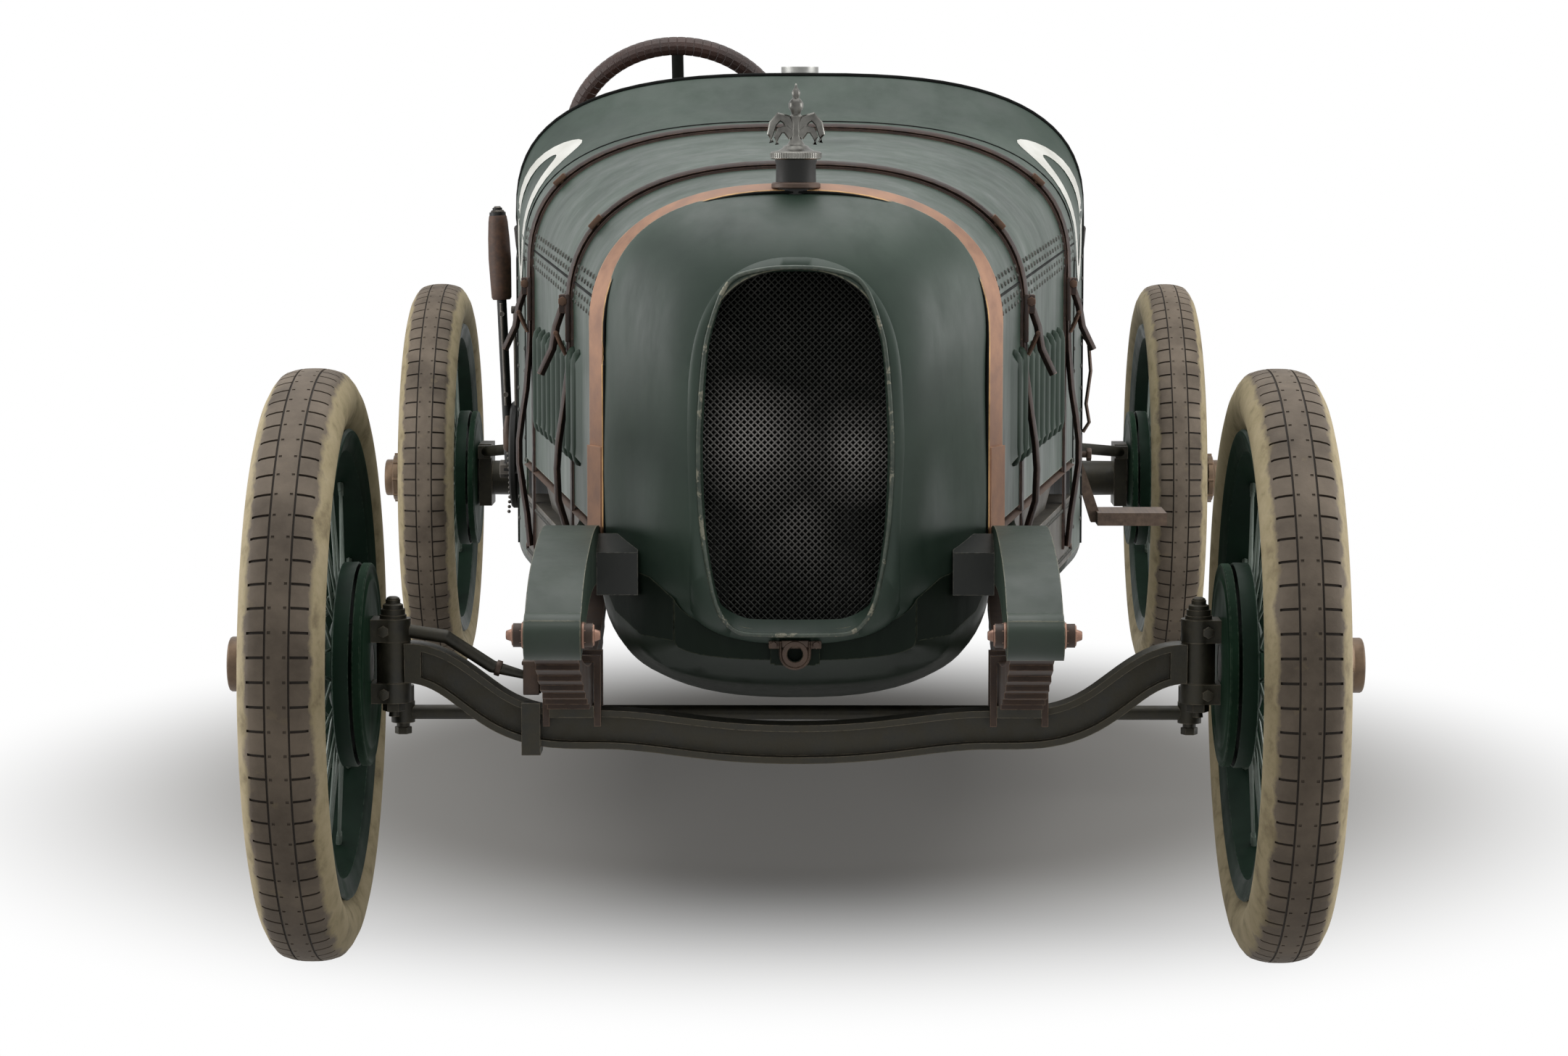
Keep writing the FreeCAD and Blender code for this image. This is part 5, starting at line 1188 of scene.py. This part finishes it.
# The leaves: how far forward, radius at the root and the tip, and the line in (x, z)
LEAVES = ((0.0, 4.5, 2.0, ((4, 1230), (14, 1246), (25, 1250), (34, 1240), (38, 1224), (36, 1212))),
          (2.0, 4.0, 1.6, ((5, 1222), (15, 1232), (24, 1230), (29, 1220), (28, 1209))))


def filler():
    """Black neck, knurled lid and a plain urn with two drooping leaves on each side."""
    base = at(0, FILLER_Y, 0)
    neck = bmesh.new()
    turned(neck, [(1120, 24.5), (1120, 29.0), (1146, 30.0), (1180, 29.5),
                  (1184, 31.0), (1187, 31.0), (1187, 24.5)], base, Z, 48)
    finished("filler_neck", neck, BLACK_IRON, sharp=35)
    flange = bmesh.new()
    turned(flange, [(1144.5, 29.0), (1144.5, 35.0), (1146, 36.5), (1151, 36.5), (1153, 35.0),
                    (1154, 29.0)], base, Z, 48)
    finished("filler_flange", flange, CUP_BROWN, sharp=35)
    lid = bmesh.new()
    turned(lid, LID_OUTLINE, base, Z, 40)
    knurl = bmesh.new()
    block(knurl, Vector((37.0, -0.9, 1189.5)) * MM, Vector((38.3, 0.9, 1197)) * MM)
    stamp(lid, knurl, [Matrix.Translation(base) @ turn_about(Z, 6.0 * i) for i in range(60)])
    for side in SIDES:
        for forward, root, tip, line in LEAVES:
            path = [at(side * a, FILLER_Y - forward, z) for a, z in line]
            sweep(lid, path, root, 8, flat=2.0, end_radius=tip)
    finished("filler_lid", lid, NICKEL, sharp=35, stands_for=("filler_cap",))


# The steering wheel's middle, its axis toward the driver, and the bound rim


WHEEL_CENTRE = (-237.0, 1900.0, 1205.0)
WHEEL_AXIS = Vector((0, 0.8910065, 0.4539905))
WHEEL_RADIUS = 207.0
BINDINGS = 84


def steering_wheel():
    """The bound rim on four flat spokes, with the boss's nut."""
    place = Matrix.Translation(at(*WHEEL_CENTRE)) @ facing(WHEEL_AXIS)
    bm = bmesh.new()
    pitch = 360.0 / BINDINGS
    ring = bmesh.ops.create_circle(bm, segments=14, radius=16.9 * MM, matrix=turn_about(X, 90))["verts"]
    bmesh.ops.translate(bm, vec=(WHEEL_RADIUS * MM, 0, 0), verts=ring)
    edges = list({e for v in ring for e in v.link_edges})
    for share, radius in ((0.08, 17.8), (0.42, 18.0), (0.42, 17.8), (0.08, 16.9)):
        edges, ring = drawn_out(bm, edges)
        bmesh.ops.rotate(bm, cent=ORIGIN, matrix=turn_about(Z, pitch * share), verts=ring)
        middle = sum((v.co for v in ring), Vector()) / len(ring)
        for vert in ring:
            vert.co = middle + (vert.co - middle).normalized() * radius * MM
    whole_turn(bm, Z, BINDINGS)
    bmesh.ops.transform(bm, matrix=place, verts=bm.verts)
    finished("bound_rim", bm, RIM_BINDING, "steering_wheel", 25, ("steering_wheel",))
    bm = bmesh.new()
    template = bmesh.new()
    block(template, Vector((-11.5, 20, -9.5)) * MM, Vector((11.5, WHEEL_RADIUS - 12, -1.5)) * MM, 2.5)
    stamp(bm, template, [turn_about(Z, 90.0 * i) for i in range(4)])
    turned(bm, [(-30, 1), (-30, 27), (-24, 30.5), (-12, 31), (-4, 34), (2, 33), (4, 24), (10, 20), (12, 12),
                (12, 1)], ORIGIN, Z, 40)
    bmesh.ops.transform(bm, matrix=place, verts=bm.verts)
    return finished("wheel_spider", bm, BRACKET_PAINT, "steering_wheel", 35)


LEVER_FOOT = (-541.0, 1500.0, 600.0)
LEVER_LEAN = Vector((-13, 0, 320)).normalized()


def lever_grip():
    """The brake lever's turned grip, its button and the rod of its catch."""
    foot = at(*LEVER_FOOT)
    bm = bmesh.new()
    turned(bm, [(316, 10.0), (316, 16.0), (320, 18.5), (345, 19.5), (392, 21.0), (430, 20.0), (460, 18.0),
                (470, 16.5), (476, 13.0), (476, 9.0)], foot, LEVER_LEAN, 40)
    finished("lever_grip", bm, GRIP_WOOD, sharp=30)
    bm = bmesh.new()
    turned(bm, [(476, 1.0), (476, 12.0), (479, 13.0), (482, 11.0), (482, 8.0), (486, 8.0), (489, 5.0),
                (489, 1.0)], foot, LEVER_LEAN, 28)
    rod = foot - Y * 0.016
    cylinder(bm, rod + LEVER_LEAN * 0.12, rod + LEVER_LEAN * 0.31, 3.2, None, 10)
    for share in (0.14, 0.29):
        guide = foot + LEVER_LEAN * share
        cylinder(bm, guide - Y * 0.020, guide + Y * 0.012, 5.0, None, 8)
    cylinder(bm, foot + X * 0.010, foot - X * 0.018, 17.0, None, 6, 1.5)
    return finished("lever_fittings", bm, BARE_STEEL, sharp=35)


# y and height of the cockpit's side edge
ELBOW_LINE = ((1408.0, 1049.0), (1455.0, 1017.0), (1520.0, 985.0), (1620.0, 953.0), (1720.0, 940.0),
              (1850.0, 937.5), (1980.0, 942.0), (2100.0, 952.0), (2230.0, 968.0), (2340.0, 986.0),
              (2444.0, 1003.0))


def cockpit_edge():
    """A leather roll along the elbow cut-outs."""
    bm = bmesh.new()
    sweep(bm, [at(body_width(y) - 2.0, y, z + 1.0) for y, z in ELBOW_LINE], 9.0, 12)
    mirror_over(bm)
    return finished("cockpit_roll", bm, EDGE_ROLL, sharp=60)


HORN_EYE_Y = -430.0
HORN_EYE_Z = 540.0
HORN_HALF_WIDTH = 39.4


def horn_fittings():
    """Curved plates over the horns' tips, and the spring eye bolts with their nuts."""
    bm = bmesh.new()
    arc = [math.radians(-68 + 11.2 * i) for i in range(11)]
    section = [(a, 35.6 if a < 0.4 else 33.4) for a in arc] + [(a, 32.4) for a in reversed(arc)]
    inner_x = SPRING_X - HORN_HALF_WIDTH
    outline = [at(inner_x, HORN_EYE_Y - r * math.cos(a), HORN_EYE_Z + r * math.sin(a)) for a, r in section]
    face = bm.faces.new([bm.verts.new(p) for p in outline])
    made = bmesh.ops.extrude_face_region(bm, geom=[face])
    bmesh.ops.translate(bm, vec=X * 2 * HORN_HALF_WIDTH * MM, verts=new_verts(made))
    mirror_over(bm)
    finished("horn_plates", bm, FRAME_PAINT, sharp=30)
    bm = bmesh.new()
    for x, out in ((292.0, -1), (370.0, 1)):
        face, outward = at(x, HORN_EYE_Y, HORN_EYE_Z), X * out
        cylinder(bm, face, face + outward * 0.004, 18.5, None, 24, 0.8)
        cylinder(bm, face + outward * 0.004, face + outward * 0.018, 17.0, 14.5, 6, 1.2)
        cylinder(bm, face + outward * 0.018, face + outward * 0.026, 9.0, 6.0, 14, 1.0)
    mirror_over(bm)
    return finished("horn_bolts", bm, HORN_COPPER, sharp=35)


NUMERAL_Y = 1308.0
NUMERAL_Z = 1085.0


def numeral_form():
    """A painted loop on each side of the cowl."""
    bm = bmesh.new()
    rings = []
    for grow in (1.0, 0.9, 0.79, 0.68, 0.58):
        ring = []
        for i in range(40):
            a = 2 * math.pi * i / 40
            y = NUMERAL_Y + 62.0 * grow ** 1.3 * math.cos(a)
            z = NUMERAL_Z + 128.0 * grow ** 0.45 * math.sin(a)
            ring.append(side_at(y, z, 1.4))
        rings.append(chain(bm, ring, closed=True)[1])
    for outer, inner in zip(rings, rings[1:]):
        bmesh.ops.bridge_loops(bm, edges=outer + inner)
    mirror_over(bm)
    return finished("racing_numeral", bm, NUMERAL_PAINT, sharp=80)


SEAT_X = 225.0
SEAT_HALF_WIDTH = 178
CUSHION_SHEAR = 0.2325
CUSHION_STEPS = 20
CUSHION_CHANNELS = (-108.0, -36.0, 36.0, 108.0)
MOST_SWELL = 0.022


def swell(piece):
    """Blows the stuffed form up with cloth pressure, caps how far it moves, and keeps the result."""
    cloth = piece.modifiers.new("Stuffing", "CLOTH")
    cloth.settings.use_pressure = True
    cloth.settings.uniform_pressure_force = 4.0
    cloth.settings.effector_weights.gravity = 0.0
    cloth.settings.vertex_group_mass = "sewn"
    scene = bpy.context.scene
    for step in range(1, CUSHION_STEPS + 1):
        scene.frame_set(step)
    grown = piece.evaluated_get(bpy.context.evaluated_depsgraph_get())
    ends = [v.co.copy() for v in grown.data.vertices]
    piece.modifiers.remove(cloth)
    scene.frame_set(1)
    for vert, end in zip(piece.data.vertices, ends):
        move = end - vert.co
        if move.length > MOST_SWELL:
            move = move.normalized() * MOST_SWELL
        vert.co += move


def cushion_form(name, low, high, up_axis):
    """A leaning leather cushion between two corners, with channels sewn along its face."""
    bm = bmesh.new()
    block(bm, low, high, 16.0)
    for vert in bm.verts:
        vert.co.y += (vert.co.z - low.z) * CUSHION_SHEAR
    mesh = bpy.data.meshes.new(name)
    bm.to_mesh(mesh)
    bm.free()
    piece = bpy.data.objects.new(name, mesh)
    bpy.context.scene.collection.objects.link(piece)
    remesh = piece.modifiers.new("Even cloth", "REMESH")
    remesh.mode = "VOXEL"
    remesh.voxel_size = 0.006
    even = bpy.data.meshes.new_from_object(piece.evaluated_get(bpy.context.evaluated_depsgraph_get()))
    piece.modifiers.clear()
    piece.data = even
    even.name = name
    sewn = piece.vertex_groups.new(name="sewn")
    middle = (low + high) / 2
    for vert in even.vertices:
        across = (vert.co.x - middle.x) / MM
        if up_axis == "Z":
            front, back = vert.co.z > middle.z + 0.01, vert.co.z < low.z + 0.004
        else:
            depth = vert.co.y - (vert.co.z - low.z) * CUSHION_SHEAR
            front, back = depth < middle.y, depth > high.y - 0.004
        if back or (front and min(abs(across - c) for c in CUSHION_CHANNELS) < 3.4):
            sewn.add([vert.index], 1.0, "REPLACE")
    swell(piece)
    for face in even.polygons:
        face.use_smooth = True
    soft = piece.modifiers.new("Soft leather", "SUBSURF")
    soft.levels = 1
    soft.render_levels = 1
    piece.data.materials.clear()
    piece.data.materials.append(LEATHER)
    return piece


def cushions():
    """Two seat pads and two back rests of channelled leather."""
    for side, name in ((1, "left"), (-1, "right")):
        inner, outer = side * SEAT_X - SEAT_HALF_WIDTH, side * SEAT_X + SEAT_HALF_WIDTH
        pad = cushion_form("seat_pad_" + name, at(inner, 1992, 676), at(outer, 2292, 736), "Z")
        rest = cushion_form("back_rest_" + name, at(inner, 2276, 762), at(outer, 2316, 1070), "Y")
        for piece in (pad, rest):
            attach(piece, "chassis")
            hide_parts("seat_cushions")


def backdrop_rays(tree):
    """1 where the camera, a reflection or a view through looks, 0 for light."""
    path = add(tree, "LightPath").outputs
    seen = add(tree, "Math", [(0, path["Is Camera Ray"]), (1, path["Is Glossy Ray"])], operation="MAXIMUM")
    return add(tree, "Math", [(0, seen), (1, path["Is Transmission Ray"])], operation="MAXIMUM")


def stage():
    """A floor that keeps the cast shadow near the car, grey there as a painted shadow that deepens it, and
    runs out to white.
    """
    bpy.ops.mesh.primitive_plane_add(size=60.0, location=(0, 0, 0))
    floor = bpy.context.object
    floor.name = "floor"
    material, tree, shader, place = new_material("Floor with painted shadow")
    # The grey base is a painted shadow round the car; further off the floor shows white
    wire(tree, shader, Base_Color=linear("#94928f"), Roughness=0.9, Specular_IOR_Level=0.1)
    squeeze = add(tree, "Mapping", [("Vector", place)], Location=(0, 0.05, 0), Scale=(1.0, 0.8, 1.0))
    reach = add(tree, "VectorMath", [(0, squeeze)], operation="LENGTH").outputs["Value"]
    past_painted_shadow = add(tree, "MapRange", [("Value", reach)], interpolation_type="SMOOTHSTEP",
              From_Min=0.75, From_Max=1.75)
    share = add(tree, "Math", [(0, past_painted_shadow), (1, backdrop_rays(tree))], operation="MULTIPLY")
    white = add(tree, "Emission", Strength=1.0)
    mixed = add(tree, "MixShader", [(0, share), (1, shader), (2, white)])
    wire(tree, tree.nodes["Material Output"], [("Surface", mixed)])
    floor.data.materials.append(material)


def world_light():
    """A soft warm-white room for the car, and plain white for what the camera sees."""
    world = bpy.data.worlds.new("Studio")
    bpy.context.scene.world = world
    world.use_nodes = True
    tree = world.node_tree
    room = wire(tree, tree.nodes["Background"], Color=(1.0, 0.99, 0.97, 1.0), Strength=0.26)
    white = add(tree, "Background", Color=(1.0, 1.0, 1.0, 1.0), Strength=1.0)
    mixed = add(tree, "MixShader", [(0, backdrop_rays(tree)), (1, room), (2, white)])
    wire(tree, tree.nodes["World Output"], [("Surface", mixed)])


# Name, place, target, size in metres, watts
LAMPS = (("overhead", (0.0, -0.8, 5.2), (0, -0.6, 0), 5.5, 170.0),
         ("left_soft", (-4.4, -1.4, 1.7), (0, -1.4, 0.8), 2.6, 95.0),
         ("right_soft", (4.4, -1.4, 1.7), (0, -1.4, 0.8), 2.6, 95.0))


def lamps():
    for name, place, target, size, power in LAMPS:
        lamp = bpy.data.lights.new(name, "AREA")
        lamp.energy = power
        lamp.size = size
        holder = bpy.data.objects.new(name, lamp)
        holder.location = place
        holder.rotation_mode = "QUATERNION"
        holder.rotation_quaternion = (Vector(target) - Vector(place)).to_track_quat("-Z", "Y")
        bpy.context.scene.collection.objects.link(holder)


CAMERA_PLACE = (30.6, -5752.4, 1237.0)
CAMERA_PITCH = 0.1027
CAMERA_YAW = 0.0083
CAMERA_LENS = 89.64


def camera():
    data = bpy.data.cameras.new("camera")
    data.lens = CAMERA_LENS
    data.sensor_width = 36.0
    data.sensor_fit = "HORIZONTAL"
    holder = bpy.data.objects.new("camera", data)
    holder.location = at(*CAMERA_PLACE)
    holder.rotation_euler = (math.pi / 2 - CAMERA_PITCH, 0, CAMERA_YAW)
    bpy.context.scene.collection.objects.link(holder)
    bpy.context.scene.camera = holder


finish_cad_nodes()
wheels()
grille_surround()
mesh_painted_shade()
chin()
grille()
body_rivets()
body_seams()
copper_bead()
bonnet_ledges()
frame_valances()
strap_saddles()
straps()
louvres()
toggles()
horn_fittings()
front_axle_fittings()
crank_cup()
steering_arm()
side_fittings()
filler()
steering_wheel()
lever_grip()
cockpit_edge()
numeral_form()
cushions()
stage()
world_light()
lamps()
camera()
bpy.context.scene.view_settings.view_transform = "Standard"
